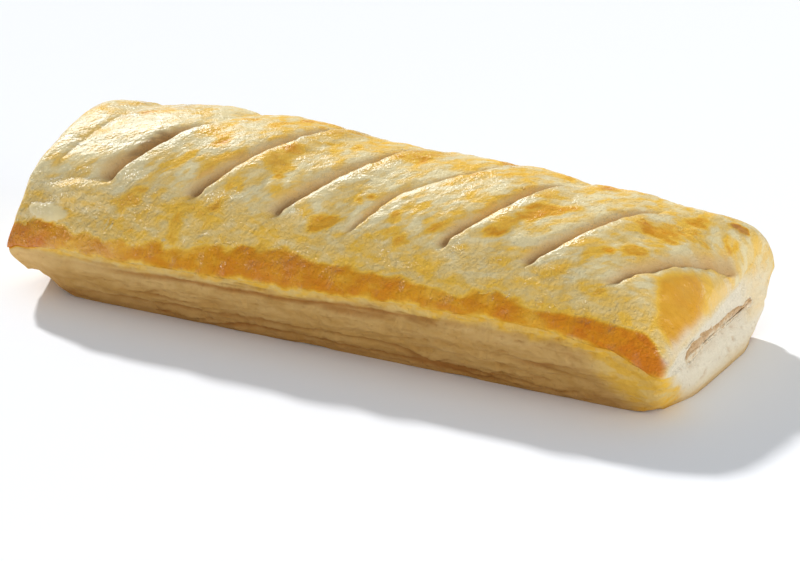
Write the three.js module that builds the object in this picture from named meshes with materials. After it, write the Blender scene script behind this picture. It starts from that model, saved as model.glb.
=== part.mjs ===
// Sausage roll: a length of sausage baked inside puff pastry that is slashed across the top.
// Millimetres. +X runs along the roll, +Y points to the folded back edge and +Z points up.
// The flat underside rests on z = 0, and the roll is centred on x = 0 and y = 0.
import * as THREE from "three";

// Whole roll
const HALF_LENGTH = 75;
const CREST_Y = 2.5;
const FRONT_Y = -27.5; // nose of the pressed front rim
const BACK_Y = 27.5; // outside of the folded back
const BACK_NOSE_Z = 14.5;
const CORE_Z = 9; // relief on the top stands out from a line at this height under the crest

// Height of the crest and of the front rim along the roll as [x, z]
const CREST_LINE = [
  [-75, 33.4],
  [-59, 33.2],
  [-40, 35.3],
  [-22, 35.2],
  [-4, 33.5],
  [24, 33.8],
  [52, 31.9],
  [75, 31.5],
];
const RIM_LINE = [
  [-75, 12.4],
  [-56, 12.8],
  [-10, 14.2],
  [20, 16],
  [46, 16.6],
  [62, 15.2],
  [75, 10.4],
];

// Outline of a cross-section
const FRONT_FALL = [2, 0.667]; // how the dome falls to the front rim: inner and outer power
const BACK_FALL = [2.4, 0.62];
const BASE_FRONT_Y = -21.8; // front and back line of the flat underside
const BASE_BACK_Y = 20.5;
const BAND_FRONT_Y = -26.5; // top of the puffed side band, just under the rim
const BAND_ROUNDING = 1.15; // the band is fully out before it reaches the rim
const BACK_ROUNDING = 0.7; // fullness of the folded back below its nose

// Both front corners lift off the table, the left one like a beak
const LEFT_LIFT = { height: 7.6, length: 18, depth: 10 };
const RIGHT_LIFT = { height: 3.4, length: 12, depth: 9 };

// Ends: the top sheet is pressed down towards the cut edge. Lid is the share of the dome's
// height left at the cut edge, over the sausage and at the folded back.
const LEFT_PRESS = { length: 10, power: 4, root: 0.25 };
const RIGHT_PRESS = { length: 28, power: 2.3, root: 0.62 };
const BACK_PRESS = { length: 9, power: 3.5, root: 0.4 };
const FOLD_Y = [6.5, 24.5]; // the pressing changes from the crest's to the back's between these
const LID = { crest: 0.17, back: 0.55 };
const BASE_INSET = 0.7; // the end face leans in by this much at the table
const CORNER_INSET = { left: 0.8, right: 3.4 }; // more of it at the front bottom corner
const CORNER_WIDTH = 14;
const INSET_POWER = 1.6; // the lean grows faster near the table
const INSET_LENGTH = 8; // stretch of the skin that is drawn in with the end face
const BACK_CORNER_INSET = 0.5; // rounding of the folded corner
const TIP = { reach: 0.6, width: 8 }; // the right front tip sticks out past the rest of the end

// Slashes across the top: x at the front end, lean, depth, y of both ends
const SLASHES = [
  { x: -70.7, lean: 0.45, depth: 0.7, from: -18.5, to: 3.5 },
  { x: -57.4, lean: 0.72, depth: 3.4, from: -20, to: 10.5 },
  { x: -35.6, lean: 1, depth: 3.6, from: -21.5, to: 14.5 },
  { x: -16, lean: 1, depth: 3.4, from: -21.5, to: 13.5 },
  { x: 2.4, lean: 0.78, depth: 1.6, from: -22, to: 13.5 },
  { x: 22, lean: 0.84, depth: 3.4, from: -21.5, to: 8.5 },
  { x: 40.6, lean: 0.9, depth: 3.2, from: -21.5, to: 8.5 },
  { x: 58.3, lean: 0.93, depth: 2.2, from: -21.5, to: 22.5 },
];
const LEAN_START = -19.5; // y at which a slash has its listed x
const LEAN_RATE = 0.45; // mm along the roll per mm across it
const LEAN_BEND = { reach: 7.5, fade: 9 }; // the front part of a slash leans more
const LEAN_HOLD = [-18.5, 6.5]; // beyond these y the lean stops growing
const LEAN_STOP = [2.5, 6];
const LINE_END = 73.8; // mesh lines along a slash stop leaning here, short of the right end
const SLOPE_WIDTH = 4.6; // gentle wall on the left of a slash
const LIP_WIDTH = 1.3; // steep wall on the right of a slash
const LIP_RISE = 0.3; // height of the raised lip as a share of the depth
const LIP_FADE = 5;
const SLASH_RUN_IN = 5; // a slash deepens over this width at its front and fades at its back
const SLASH_FADE = 9;

// Swelling of the slashed area, with the y and x between which it grows and fades
const PILLOW = { height: 0.7, front: [-24.5, -13.5], back: [12.5, 24.5] };
const PILLOW_ENDS = { left: [-72, -60], right: [52, 66] };

// Sausage: half width and half height of its section, and the same where it fills the end slit
const MEAT = { halfWidth: 18.5, halfHeight: 9, centreY: 0.5, centreZ: 15.2 };
const SLIT = { halfWidth: 16.6, halfHeight: 1.15, centreY: -0.1, centreZ: 10.8 };
const SLIT_RUN = 15; // length over which the sausage narrows to the slit
const SLIT_OPENING = 1.3; // the sausage gains height later than width
const SLIT_ARCH = 1; // rise of the slit's middle over its ends
const SLIT_BEHIND = 0.4; // the slit lies a little behind the roll's end
const MEAT_RECESS = 1.6; // the sausage stops short of the roll's end
const GAP = 0.3; // clearance between sausage and pastry

// Mesh density
const SPAN_STEPS = [0, 0.05, 0.12, 0.3, 0.52, 0.76, 0.9]; // stations from one slash to the next
const TOP_STEPS = 22;
const BACK_STEPS = 4;
const BASE_STEPS = 8;
const BAND_STEPS = 7;
const RING = TOP_STEPS + BACK_STEPS + BASE_STEPS + BAND_STEPS;
const FACE_STEPS = 5;
const TUNNEL_STEPS = 10;

const clamp01 = (t) => Math.min(1, Math.max(0, t));
const mix = (a, b, t) => a + (b - a) * t;

function smooth(from, to, value) {
  const t = clamp01((value - from) / (to - from));
  return t * t * (3 - 2 * t);
}

// Value at x of a line given as [x, value] points, eased between them.
function along(line, x) {
  const at = Math.min(HALF_LENGTH, Math.max(-HALF_LENGTH, x));
  const next = Math.max(1, line.findIndex(([px]) => px >= at));
  const [x0, v0] = line[next - 1];
  const [x1, v1] = line[next];
  return mix(v0, v1, smooth(x0, x1, at));
}

// What the pressing of one end leaves of the dome, from 1 inside to 0 at the cut edge.
function pressShare(fromEnd, { length, power, root }) {
  const t = clamp01(1 - fromEnd / length);
  return (1 - t ** power) ** root;
}

// Share of the dome's height at x, y.
function endPress(x, y) {
  const fold = smooth(FOLD_Y[0], FOLD_Y[1], y);
  const right = {
    length: mix(RIGHT_PRESS.length, BACK_PRESS.length, fold),
    power: mix(RIGHT_PRESS.power, BACK_PRESS.power, fold),
    root: mix(RIGHT_PRESS.root, BACK_PRESS.root, fold),
  };
  const lid = mix(LID.crest, LID.back, fold);
  const kept = pressShare(HALF_LENGTH + x, LEFT_PRESS) * pressShare(HALF_LENGTH - x, right);
  return mix(lid, 1, kept);
}

// How far along the roll a slash with lean 1 has moved at y.
function leanAt(y) {
  const [first, last] = LEAN_HOLD;
  const [before, beyond] = LEAN_STOP;
  let held = y;
  if (y < first) held = first + before * Math.tanh((y - first) / before);
  if (y > last) held = last + beyond * Math.tanh((y - last) / beyond);
  const across = held - LEAN_START;
  return LEAN_RATE * across + LEAN_BEND.reach * (1 - Math.exp(-across / LEAN_BEND.fade));
}

// Profile across one slash: a gentle slope down, the valley at 0, then a steep raised lip.
function slashProfile(distance) {
  if (distance < 0) return -(clamp01(1 + distance / SLOPE_WIDTH) ** 1.6);
  if (distance < LIP_WIDTH) return mix(-1, LIP_RISE, distance / LIP_WIDTH);
  return LIP_RISE * (1 - clamp01((distance - LIP_WIDTH) / LIP_FADE));
}

// How far the top stands out from the smooth dome.
function relief(x, y) {
  let out = 0;
  SLASHES.forEach(({ x: start, lean, depth, from, to }) => {
    const open = smooth(from, from + SLASH_RUN_IN, y) * (1 - smooth(to - SLASH_FADE, to, y));
    out += depth * open * slashProfile(x - (start + lean * leanAt(y)));
  });
  const { height, front, back } = PILLOW;
  const { left, right } = PILLOW_ENDS;
  const across = smooth(...front, y) * (1 - smooth(...back, y));
  return out + height * across * smooth(...left, x) * (1 - smooth(...right, x));
}

// Lift of the underside at the two front corners.
function cornerLift(x, y) {
  const { height, length, depth } = x < 0 ? LEFT_LIFT : RIGHT_LIFT;
  const lengthwise = 1 - smooth(0, length, HALF_LENGTH - Math.abs(x));
  return height * lengthwise * (1 - smooth(0, depth, y - FRONT_Y));
}

// One point of the section outline: step 0 is the front nose, then over the top, down the
// back, along the underside and up the front band. Returns y, z and whether it is on top.
function sectionPoint(step, x) {
  const frontZ = along(RIM_LINE, x);
  if (step <= TOP_STEPS) {
    const turn = Math.cos((Math.PI * step) / TOP_STEPS);
    const reach = turn > 0 ? CREST_Y - FRONT_Y : BACK_Y - CREST_Y;
    const [inner, outer] = turn > 0 ? FRONT_FALL : BACK_FALL;
    const y = CREST_Y - turn * reach;
    const rise = (1 - Math.abs(turn) ** inner) ** outer;
    const noseZ = mix(frontZ, BACK_NOSE_Z, smooth(FRONT_Y, BACK_Y, y));
    return { y, z: noseZ + (along(CREST_LINE, x) - noseZ) * rise * endPress(x, y), top: true };
  }
  if (step <= TOP_STEPS + BACK_STEPS) {
    const turn = ((step - TOP_STEPS) / BACK_STEPS) * (Math.PI / 2);
    const y = mix(BASE_BACK_Y, BACK_Y, Math.cos(turn) ** BACK_ROUNDING);
    return { y, z: BACK_NOSE_Z * (1 - Math.sin(turn)), top: false };
  }
  if (step <= TOP_STEPS + BACK_STEPS + BASE_STEPS) {
    const share = (step - TOP_STEPS - BACK_STEPS) / BASE_STEPS;
    return { y: mix(BASE_BACK_Y, BASE_FRONT_Y, share), z: 0, top: false };
  }
  const share = (step - TOP_STEPS - BACK_STEPS - BASE_STEPS) / BAND_STEPS;
  const up = Math.min(1, share * BAND_ROUNDING);
  const y = mix(BASE_FRONT_Y, BAND_FRONT_Y, Math.sin((up * Math.PI) / 2));
  return { y, z: frontZ * share, top: false };
}

// How far the end face leans in from the full length.
function endInset({ y, z, top }, side) {
  const behindTip = side > 0 ? TIP.reach * smooth(0, TIP.width, y - FRONT_Y) : 0;
  const inset = behindTip + BACK_CORNER_INSET * smooth(14, BACK_Y, y);
  if (top) return inset;
  const low = (1 - clamp01(z / BACK_NOSE_Z)) ** INSET_POWER;
  const corner = 1 - smooth(0, CORNER_WIDTH, Math.abs(y - BASE_FRONT_Y));
  return inset + low * (BASE_INSET + (side > 0 ? CORNER_INSET.right : CORNER_INSET.left) * corner);
}

// Where a slash, or an end of the roll, lies at y.
function anchorX({ x, lean }, y) {
  if (!lean) return x;
  const leaned = x + lean * leanAt(y);
  return LINE_END - Math.log(1 + Math.exp(LINE_END - leaned));
}

// A point of the outer surface on a mesh line between two anchors.
function outerPoint(step, { from, to, share }) {
  const { y } = sectionPoint(step, 0);
  let x = mix(anchorX(from, y), anchorX(to, y), share);
  const point = sectionPoint(step, x);
  const side = Math.sign(x);
  const nearEnd = smooth(HALF_LENGTH - INSET_LENGTH, HALF_LENGTH, Math.abs(x));
  if (point.top) {
    const out = relief(x, point.y);
    const away = new THREE.Vector2(point.y - CREST_Y, point.z - CORE_Z).normalize();
    point.y += away.x * out;
    point.z += away.y * out;
  } else {
    const lift = cornerLift(x, point.y);
    const rim = along(RIM_LINE, x);
    point.z = Math.max(point.z, lift + (point.z * (rim - lift)) / rim);
  }
  x -= side * nearEnd * endInset(point, side);
  return new THREE.Vector3(x, point.y, point.z);
}

// Mesh lines from the left end to the right end, closer together beside each slash.
function meshLines() {
  const leftEnd = { x: -HALF_LENGTH, lean: 0 };
  const rightEnd = { x: HALF_LENGTH, lean: 0 };
  const anchors = [leftEnd, ...SLASHES, rightEnd];
  const lines = anchors.slice(1).flatMap((to, i) =>
    SPAN_STEPS.map((share) => ({ from: anchors[i], to, share })),
  );
  return [...lines, { from: rightEnd, to: rightEnd, share: 0 }];
}

// Section of the sausage at x, grown by the clearance. Share runs across from -1 to 1.
function meatPoint(x, share, top, grow) {
  const open = smooth(0, SLIT_RUN, HALF_LENGTH - Math.abs(x));
  const halfWidth = mix(SLIT.halfWidth, MEAT.halfWidth, open) + grow;
  const halfHeight = mix(SLIT.halfHeight, MEAT.halfHeight, open ** SLIT_OPENING) + grow;
  const arch = SLIT_ARCH * (1 - open) * (1 - share * share);
  const centreZ = mix(SLIT.centreZ, MEAT.centreZ, open) + arch;
  const bulge = halfHeight * Math.sqrt(Math.max(0, 1 - share * share));
  const y = mix(SLIT.centreY, MEAT.centreY, open) + halfWidth * share;
  return new THREE.Vector3(x, y, centreZ + (top ? bulge : -bulge));
}

// Where each step of the ring lies across the sausage: -1 at the front to 1 at the back.
function ringShares() {
  return Array.from({ length: RING }, (_, step) => {
    const { y, top } = sectionPoint(step, 0);
    return { share: (2 * (y - FRONT_Y)) / (BACK_Y - FRONT_Y) - 1, top };
  });
}

// Rings round the sausage from the right end to the left, grown by the clearance.
function meatRings(endX, grow) {
  const shares = ringShares();
  return Array.from({ length: TUNNEL_STEPS + 1 }, (_, i) => {
    const swing = (HALF_LENGTH - SLIT_BEHIND) * Math.cos((Math.PI * i) / TUNNEL_STEPS);
    const x = Math.max(-endX, Math.min(endX, swing));
    return shares.map(({ share, top }) => meatPoint(x, share, top, grow));
  });
}

// Triangles between two neighbouring rings, given by the numbers of their first points.
function skin(here, there) {
  const index = [];
  for (let j = 0; j < RING; j++) {
    const k = (j + 1) % RING;
    index.push(here + j, there + j, there + k);
    index.push(here + j, there + k, here + k);
  }
  return index;
}

function meshFrom(name, points, index, material) {
  const geometry = new THREE.BufferGeometry();
  geometry.setAttribute(
    "position",
    new THREE.Float32BufferAttribute(points.flatMap((p) => [p.x, p.y, p.z]), 3),
  );
  geometry.setIndex(index);
  geometry.computeVertexNormals();
  const mesh = new THREE.Mesh(geometry, material);
  mesh.name = name;
  return mesh;
}

// Rings that close an end from the outer outline to the slit, bulging as they go.
function faceRings(outline, slit) {
  return Array.from({ length: FACE_STEPS - 1 }, (_, i) => {
    const t = (i + 1) / FACE_STEPS;
    return outline.map((p, j) => {
      const point = p.clone().lerp(slit[j], t);
      point.x = mix(p.x, slit[j].x, Math.sin((t * Math.PI) / 2));
      return point;
    });
  });
}

// The pastry: outer skin, right end face, the tunnel the sausage lies in, left end face.
function makePastry() {
  const outer = meshLines().map((line) =>
    Array.from({ length: RING }, (_, step) => outerPoint(step, line)),
  );
  const tunnel = meatRings(HALF_LENGTH - SLIT_BEHIND, GAP);
  const rings = [
    ...outer,
    ...faceRings(outer[outer.length - 1], tunnel[0]),
    ...tunnel,
    ...faceRings(outer[0], tunnel[TUNNEL_STEPS]).reverse(),
  ];
  const index = rings.flatMap((_, i) => skin(i * RING, ((i + 1) % rings.length) * RING));
  const crust = new THREE.MeshStandardMaterial({ color: 0xd9a64a, roughness: 0.4, metalness: 0 });
  return meshFrom("pastry", rings.flat(), index, crust);
}

// The sausage: a closed bar with a middle point on each end.
function makeSausage() {
  const rings = meatRings(HALF_LENGTH - MEAT_RECESS, 0);
  const points = rings.flat();
  const middles = [rings[0], rings[TUNNEL_STEPS]].map((ring) => {
    const sum = ring.reduce((total, p) => total.add(p), new THREE.Vector3());
    return sum.divideScalar(RING);
  });
  const index = rings.slice(1).flatMap((_, i) => skin(i * RING, (i + 1) * RING));
  const leftRing = TUNNEL_STEPS * RING;
  const [rightEnd, leftEnd] = [points.length, points.length + 1];
  for (let j = 0; j < RING; j++) {
    const k = (j + 1) % RING;
    index.push(rightEnd, j, k);
    index.push(leftEnd, leftRing + k, leftRing + j);
  }
  index.reverse(); // the rings run right to left, so the faces are turned outwards
  const meat = new THREE.MeshStandardMaterial({ color: 0xb08268, roughness: 0.7, metalness: 0 });
  return meshFrom("sausage_filling", [...points, ...middles], index, meat);
}

const group = new THREE.Group();
group.name = "sausage_roll";
group.add(makePastry(), makeSausage());

export default group;
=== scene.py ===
"""A baked sausage roll: pastry case, sausage filling, lifted flakes and a plain stage."""
import math
from collections import namedtuple
from functools import lru_cache

import bpy
import numpy as np
from bpy.props import FloatProperty, FloatVectorProperty, PointerProperty
from mathutils import Matrix, Vector


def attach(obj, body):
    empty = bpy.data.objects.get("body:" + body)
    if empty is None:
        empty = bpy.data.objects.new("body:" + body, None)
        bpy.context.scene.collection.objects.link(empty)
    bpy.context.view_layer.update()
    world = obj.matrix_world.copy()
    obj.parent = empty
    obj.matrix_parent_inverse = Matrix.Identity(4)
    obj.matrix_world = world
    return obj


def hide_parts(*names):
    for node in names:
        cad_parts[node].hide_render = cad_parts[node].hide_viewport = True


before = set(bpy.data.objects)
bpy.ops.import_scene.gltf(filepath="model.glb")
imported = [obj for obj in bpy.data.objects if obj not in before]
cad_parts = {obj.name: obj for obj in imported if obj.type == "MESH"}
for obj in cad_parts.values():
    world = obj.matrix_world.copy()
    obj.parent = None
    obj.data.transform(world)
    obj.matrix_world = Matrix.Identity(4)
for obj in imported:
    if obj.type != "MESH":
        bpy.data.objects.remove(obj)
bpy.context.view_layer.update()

bl_info = {
    "name": "Sausage roll",
    "version": (1, 0, 0),
    "blender": (4, 5, 0),
    "location": "View3D > Sidebar > Sausage roll",
    "description": "Builds a baked sausage roll: pastry case, filling, flakes and a plain stage",
    "category": "Object",
}

BODY = "root"
MM = 0.001

# ---------------------------------------------------------------- shape of the roll, in mm

TOP, BACK, BASE, BAND = range(4)  # stretches of a section, in their order round it

HALF_LENGTH = 75
CREST_Y = 2.5
FRONT_Y = -27.5
BACK_Y = 27.5
BACK_NOSE_Z = 14.5
CORE_Z = 9  # height of the line that slashes and strips are pushed out from
CREST_LINE = [
    (-75, 32.9), (-61, 32.2), (-40, 34.6), (-22, 34.5), (-4, 32.9), (24, 33.2), (52, 31.4), (75, 31.3),
]
RIM_LINE = [
    (-75, 10.8), (-72, 12.0), (-66, 12.8), (-56, 12.8), (-10, 14.2), (20, 16), (46, 16.6), (62, 15.2),
    (75, 10.4),
]
DOME_HEIGHT = 20  # of the crest over the noses, about, to space the steps over the dome evenly
FRONT_FALL = (2, 0.667)  # power and root of the dome's curve
BACK_FALL = (2.4, 0.62)
BASE_FRONT_Y = -21.8
BASE_BACK_Y = 20.5
BAND_FRONT_Y = -26.9
BAND_HEIGHT = 14
BAND_ROUNDING = 1.15
BACK_RADIUS = 13
BACK_ROUNDING = 0.7
UNDERSIDE_ARC = 40  # the underside counts as this far beyond the back nose, all over
# Height of the underside over the table at the lifted left corner: x, height
LEFT_LIFT_LINE = [(-75, 5.6), (-72.5, 6.5), (-61.5, 0.15), (-56, 0)]
LEFT_LIFT_DEPTH = 17
RIGHT_LIFT = (3.4, 12, 9)  # height, length, depth of the lifted right corner
LEFT_PRESS = (8.5, 5, 0.22)  # length, power, root of the pressed end
RIGHT_PRESS = (28, 2.3, 0.62)
BACK_PRESS = (7, 4, 0.3)  # the right end behind the fold
FOLD_Y = (6.5, 24.5)  # the pressed lid passes into the folded back edge between these
LID_CREST = 0.17  # share of the dome's height at the end itself, in front of the fold and behind it
LID_BACK = 0.55
BASE_INSET = 0.7
LEFT_CORNER_INSET = 0.8
RIGHT_CORNER_INSET = 3.4
CORNER_WIDTH = 14
INSET_POWER = 1.6
INSET_LENGTH = 8
BACK_CORNER_INSET = -0.6
BACK_CORNER_Y = 14
BACK_FOOT_INSET = 2.4
BACK_FOOT_Y = 26
BACK_FOOT_RISE = 3
BACK_FOOT_POWER = 0.8
TIP_REACH = 0.6
LEFT_TIP_REACH = 0.6
TIP_WIDTH = 8
CALM_LENGTH = 2.5  # the fine relief dies down over this length at each end
CALM_SHARE = 0.35  # share of it that is left at the end itself

# x at the front end, lean, depth, y of both ends, width of the smooth wall, gape, and how far the
# upper half is moved along
Slash = namedtuple("Slash", "x lean depth front back wall gape kick")
SLASHES = [
    Slash(-70.7, 0.45, 0.22, -17.5, 3.5, 1.8, 0.0, 0),
    Slash(-57.8, 1.05, 3.6, -19.0, 1.8, 6.4, 0.7, 0),
    Slash(-35.6, 1.00, 3.6, -20.3, 14.5, 5.0, 0.1, 0),
    Slash(-16.0, 0.98, 3.4, -20.5, 13.5, 4.8, 0.1, 0),
    Slash(1.0, 0.66, 1.2, -20.8, 12.0, 2.6, 0.0, 8),
    Slash(22.0, 0.84, 3.4, -20.6, 9.0, 4.0, 0.1, 0),
    Slash(40.6, 0.90, 3.1, -20.4, 9.0, 4.6, 0.1, 0),
    Slash(57.8, 0.80, 1.7, -20.0, 13.5, 4.2, 0.0, 0),
]
KICK_ALONG = (-13, 6)  # the upper half is moved along between these y
NEARLY_CLOSED = (-5.5, 4.5)  # y and half length of the place where the moved slash is almost shut
TORN_GAPE = 0.5  # a slash that gapes more than this shows torn layers
TORN_ACROSS = (-13.5, -11, -5.5, -2.5)
LEAN_START = -19.5
LEAN_RATE = 0.45
LEAN_BEND = (7.5, 9)  # how far the bend at the front end carries, and the length it fades over
LEAN_HOLD = (-18.5, 6.5)  # beyond these y a slash eases into running straight across
LEAN_STOP = (4.5, 6)  # over about these lengths
LINE_END = 73.8  # mesh lines that follow a slash stay short of this x
LINE_BUNCHING = 0.055  # how far the mesh lines crowd towards the slashes
WALL_POWER = 2.7
VALLEY_POWER = 2.6
LIP_POWER = 2.4
LIP_WIDTH = 1.9
LIP_RISE = 0.28
LIP_FADE = 4.5
LIP_OVERHANG = 1.0
OVERHANG_DEPTH = 3  # slashes at least this deep have the whole overhang
SHOWN_DEPTH = 2.2  # and those at least this deep the whole bare wall
SLASH_RUN_IN = 3.4
SLASH_FADE = 8
PILLOW_HEIGHT = 0.4
PILLOW_ACROSS = (-24.5, -13.5, 12.5, 24.5)
PILLOW_ALONG = (-72, -60, 52, 66)
STRIP_HEIGHT = 0.9
STRIP_SKEW = 0.75  # under 1, the crown of a strip lies towards its left edge
SLANTED = (-21, -16, 18, 24)  # y between which the grain of the crust follows the slashes
FLOW_LEAN = 0.9
FLOW_STRETCH = 0.75
END_RUN = 37.5  # how far the grain runs on down the left end

MEAT_HALF_WIDTH = 18.5
MEAT_HALF_HEIGHT = 9
MEAT_Y = 0.5
MEAT_Z = 15.2
MEAT_RECESS = 0.6  # how far the filling's ends lie behind the cut faces
MEAT_OVERLAP = 0.45  # how far the filling reaches over the open slit, above and below
MEAT_BULGE = 0.3
MEAT_LEAST = 0.12
SLIT_HALF_WIDTH = 16.6
SLIT_Y = -0.1
SLIT_Z = 10.8
SLIT_LEAST = 0.06
SLIT_RUN = 15  # the slit opens into the full bar over this length
SLIT_OPENING = 1.3
SLIT_ARCH = 1
SLIT_BEHIND = 0.4
GAP = 0.12
# Half height of the open slit from its front end (-1) to its back end (1)
SLIT_GAPE = [
    (-1.0, 0.3), (-0.94, 1.5), (-0.8, 1.9), (-0.55, 1.5), (-0.3, 1.0), (0.0, 0.85), (0.3, 1.1),
    (0.5, 1.0), (0.64, 0.6), (0.72, 0.15), (0.8, 0.8), (0.93, 1.0), (1.0, 0.15),
]
# Height of the cream cut face of the lid at the right end: y, z
LID_CUT = [
    (-27, 10.6), (-25.4, 11.6), (-23.8, 14.2), (-18, 15.6), (-12, 16.0), (-6, 15.6), (0, 14.6),
    (7.7, 13.4), (12.8, 12.6), (20, 9.5),
]
LID_CUT_ACROSS = (-26.5, -23.5, 9, 14)
LID_BACK_Y = 12  # the lid's cut edge ends here, and the folded back edge begins
FACE_BUNCHING = 1.15
FACE_FLOW = 12  # how far the grain runs on from the edge of an end to its slit
# Golden slope down to the right end: x and y of one point of its edge, and the lean of the edge
GOLD_SLOPE = (64.8, -10.1, -0.45)
# Ridge that runs left from the foot of the widest slash: x at both ends, y at the left end, rise of y
FOLD_RIDGE = (-72, -51.5, -22.5, 0.17)
RIDGE_FADE = 8
# Swelling of the left end: x where it starts and where it is full, middle, half width, height
LEFT_SWELL = (-66, -74, 17, 9, 1.1)
LEFT_PINCH = (4.5, 4, 0.8)  # middle, half width and depth of the hollow in front of it

# Seams between the layers of a side: darkness, length and height of the grain, sharpness, seed, and
# the length, height, limits and seed of the stretches that show them
SEAMS = [
    (1.0, 46, 3.8, 2.6, 404, 24, 6, (-0.3, 0.25), 406),
    (0.8, 18, 1.9, 3.0, 405, 13, 4, (-0.15, 0.3), 407),
    (0.4, 9, 1.1, 3.4, 409, 7, 3, (-0.1, 0.35), 410),
]

# Strength and height of the browning on the front rim along the roll: x, strength, height
RIM_BROWNING = [
    (-75, 1.02, 6.0), (-68, 0.96, 6.4), (-63, 0.86, 5.4), (-58.5, 0.66, 4.4), (-52, 0.84, 5.0),
    (-46, 0.74, 4.6), (-41, 0.84, 5.2), (-35, 0.74, 4.8), (-30, 0.80, 5.2), (-24, 0.86, 5.8),
    (-18, 0.92, 7.0), (-10, 0.92, 7.6), (-2, 0.88, 7.2), (6, 0.88, 7.0), (13, 0.88, 6.6),
    (21, 0.76, 5.4), (28, 0.76, 5.2), (35, 0.88, 6.6), (41, 0.90, 6.6), (47, 0.80, 5.2),
    (54, 0.84, 5.4), (62, 0.96, 7.0), (69, 1.10, 8.8), (75, 1.08, 8.2),
]
RIM_STRENGTH = 1.04
RIM_REACH = 1.16

# Baked patches on the top: x, y, half length, half width, turn in degrees, browning added
Patch = namedtuple("Patch", "x y length width turn browning")
PATCHES = [Patch(*numbers) for numbers in (
    (-55.2, 3.4, 6.5, 1.2, 8, 0.30), (-34.7, -7.1, 2.2, 1.6, 40, 0.42), (-35.0, 4.2, 4.5, 1.0, 15, 0.35),
    (-48.6, -20.9, 3.6, 1.8, 20, 0.30), (-36.4, -24.2, 2.0, 1.8, 0, 0.26),
    (-29.4, -22.1, 4.2, 1.8, 10, 0.16),
    (-24.5, -15.2, 5.5, 2.2, 40, 0.20), (-5.0, -19.3, 3.2, 1.5, 20, 0.46), (-8.9, -18.4, 1.5, 1.2, 0, 0.26),
    (0.9, -14.0, 1.0, 0.9, 0, 0.34), (2.7, -12.2, 1.1, 0.9, 0, 0.32), (5.5, 1.7, 7.0, 1.8, 20, 0.28),
    (20.7, 0.5, 2.6, 1.6, 20, 0.30), (19.5, -15.0, 4.6, 2.1, 42, 0.30), (10.0, -16.1, 1.5, 1.5, 0, 0.34),
    (13.2, -20.1, 2.0, 1.6, 0, 0.26), (-17.4, -4.4, 4.2, 1.5, 30, 0.22), (-18.2, -13.1, 1.2, 0.7, 30, 0.30),
    (33.3, -14.4, 4.0, 1.8, 40, 0.36), (38.3, -7.3, 4.8, 2.2, 40, 0.42), (43.4, -2.7, 3.2, 1.6, 30, 0.22),
    (56.1, -12.3, 1.6, 1.3, 30, 0.28), (60.0, -9.5, 3.0, 1.6, 35, 0.42), (61.4, 0.4, 5.6, 3.2, 35, 0.36),
    (66.2, 6.1, 3.8, 2.4, 40, 0.28), (64.9, 10.5, 3.6, 1.6, 40, 0.34), (71.6, 11.9, 2.2, 1.6, 40, 0.34),
    (70.6, -7.8, 3.0, 5.6, 20, 0.42), (72.4, 0.4, 2.0, 5.0, 10, 0.22), (-20.0, 12.0, 5.0, 2.0, 25, 0.24),
    (22.0, 14.0, 5.5, 2.2, 30, 0.26), (46.0, 12.5, 4.5, 2.0, 30, 0.24), (-52.0, 15.0, 5.0, 2.2, 20, 0.24),
    (2.0, 18.0, 5.0, 2.2, 15, 0.22), (-64.0, 10.0, 3.0, 2.0, 10, 0.2),
)]
DARK_FLAKE = Patch(71.6, 16.2, 2.1, 1.1, 35, 0.45)
PATCH_STRENGTH = 1.1
STRIP_TONE_LIMIT = 0.50  # the slashed top is nowhere browner than this outside its patches
TOP_TONE_LIMIT = 0.68  # nor than this in them
SLOPE_TONE = 0.70
DARK_FLAKE_TONE = 0.84
BLISTER_TONE = 0.02
# Tone of the lips of the slashes: partly the pale cut edge of the sheet, partly a painted highlight
LIP_PALE_AND_HIGHLIGHT_TONE = 0.06
BLISTER = (-66.6, 19.3, 4.8, 1.7)  # x, z, half length, half height
BLISTER_HEIGHT = 0.9
BLISTER_FRONT_Y = -15  # the blister lies in front of this

# Lifted flakes: x, y, half length, half width, turn in degrees, lift, browning, toasting
Flake = namedtuple("Flake", "x y length width turn lift browning toasting")
FLAKES = [Flake(*numbers) for numbers in (
    (65.0, 6.3, 1.5, 0.8, 40, 0.40, 0.50, 0.0), (63.2, 4.6, 1.0, 0.6, 70, 0.35, 0.40, 0.0),
    (-52.4, -24.6, 1.2, 0.35, 80, 0.3, 0.12, 0.0),
    (-51.2, -25.4, 1.0, 0.30, 65, 0.3, 0.10, 0.0), (-47.4, -25.2, 0.9, 0.30, 20, 0.3, 0.30, 0.0),
    (-38.3, -25.8, 0.8, 0.3, 10, 0.3, 0.15, 0.0), (-71.6, -25.6, 1.0, 0.4, 20, 0.3, 0.55, 0.0),
    (31.0, -0.5, 0.7, 0.4, 40, 0.3, 0.50, 0.3),
    (34.5, -25.6, 1.2, 0.35, 10, 0.3, 0.45, 0.0), (46.0, -25.2, 1.4, 0.35, -8, 0.3, 0.35, 0.0),
    (36.4, 20.8, 1.4, 0.7, 15, 0.35, 0.35, 0.0), (-12.0, 23.2, 1.3, 0.6, -10, 0.35, 0.30, 0.0),
    (-58.0, 21.5, 1.2, 0.6, 20, 0.3, 0.30, 0.0),
)]
FLAKE_THICKNESS = 0.14
FLAKE_GLAZE = 0.5
FLAKE_RINGS = 4
FLAKE_SPOKES = 18

# What each vertex of the pastry tells the finish, as a number from 0 to 1
MARKS = ("browning", "glaze", "bare", "side", "crease", "cream", "torn", "slant", "even")

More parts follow.
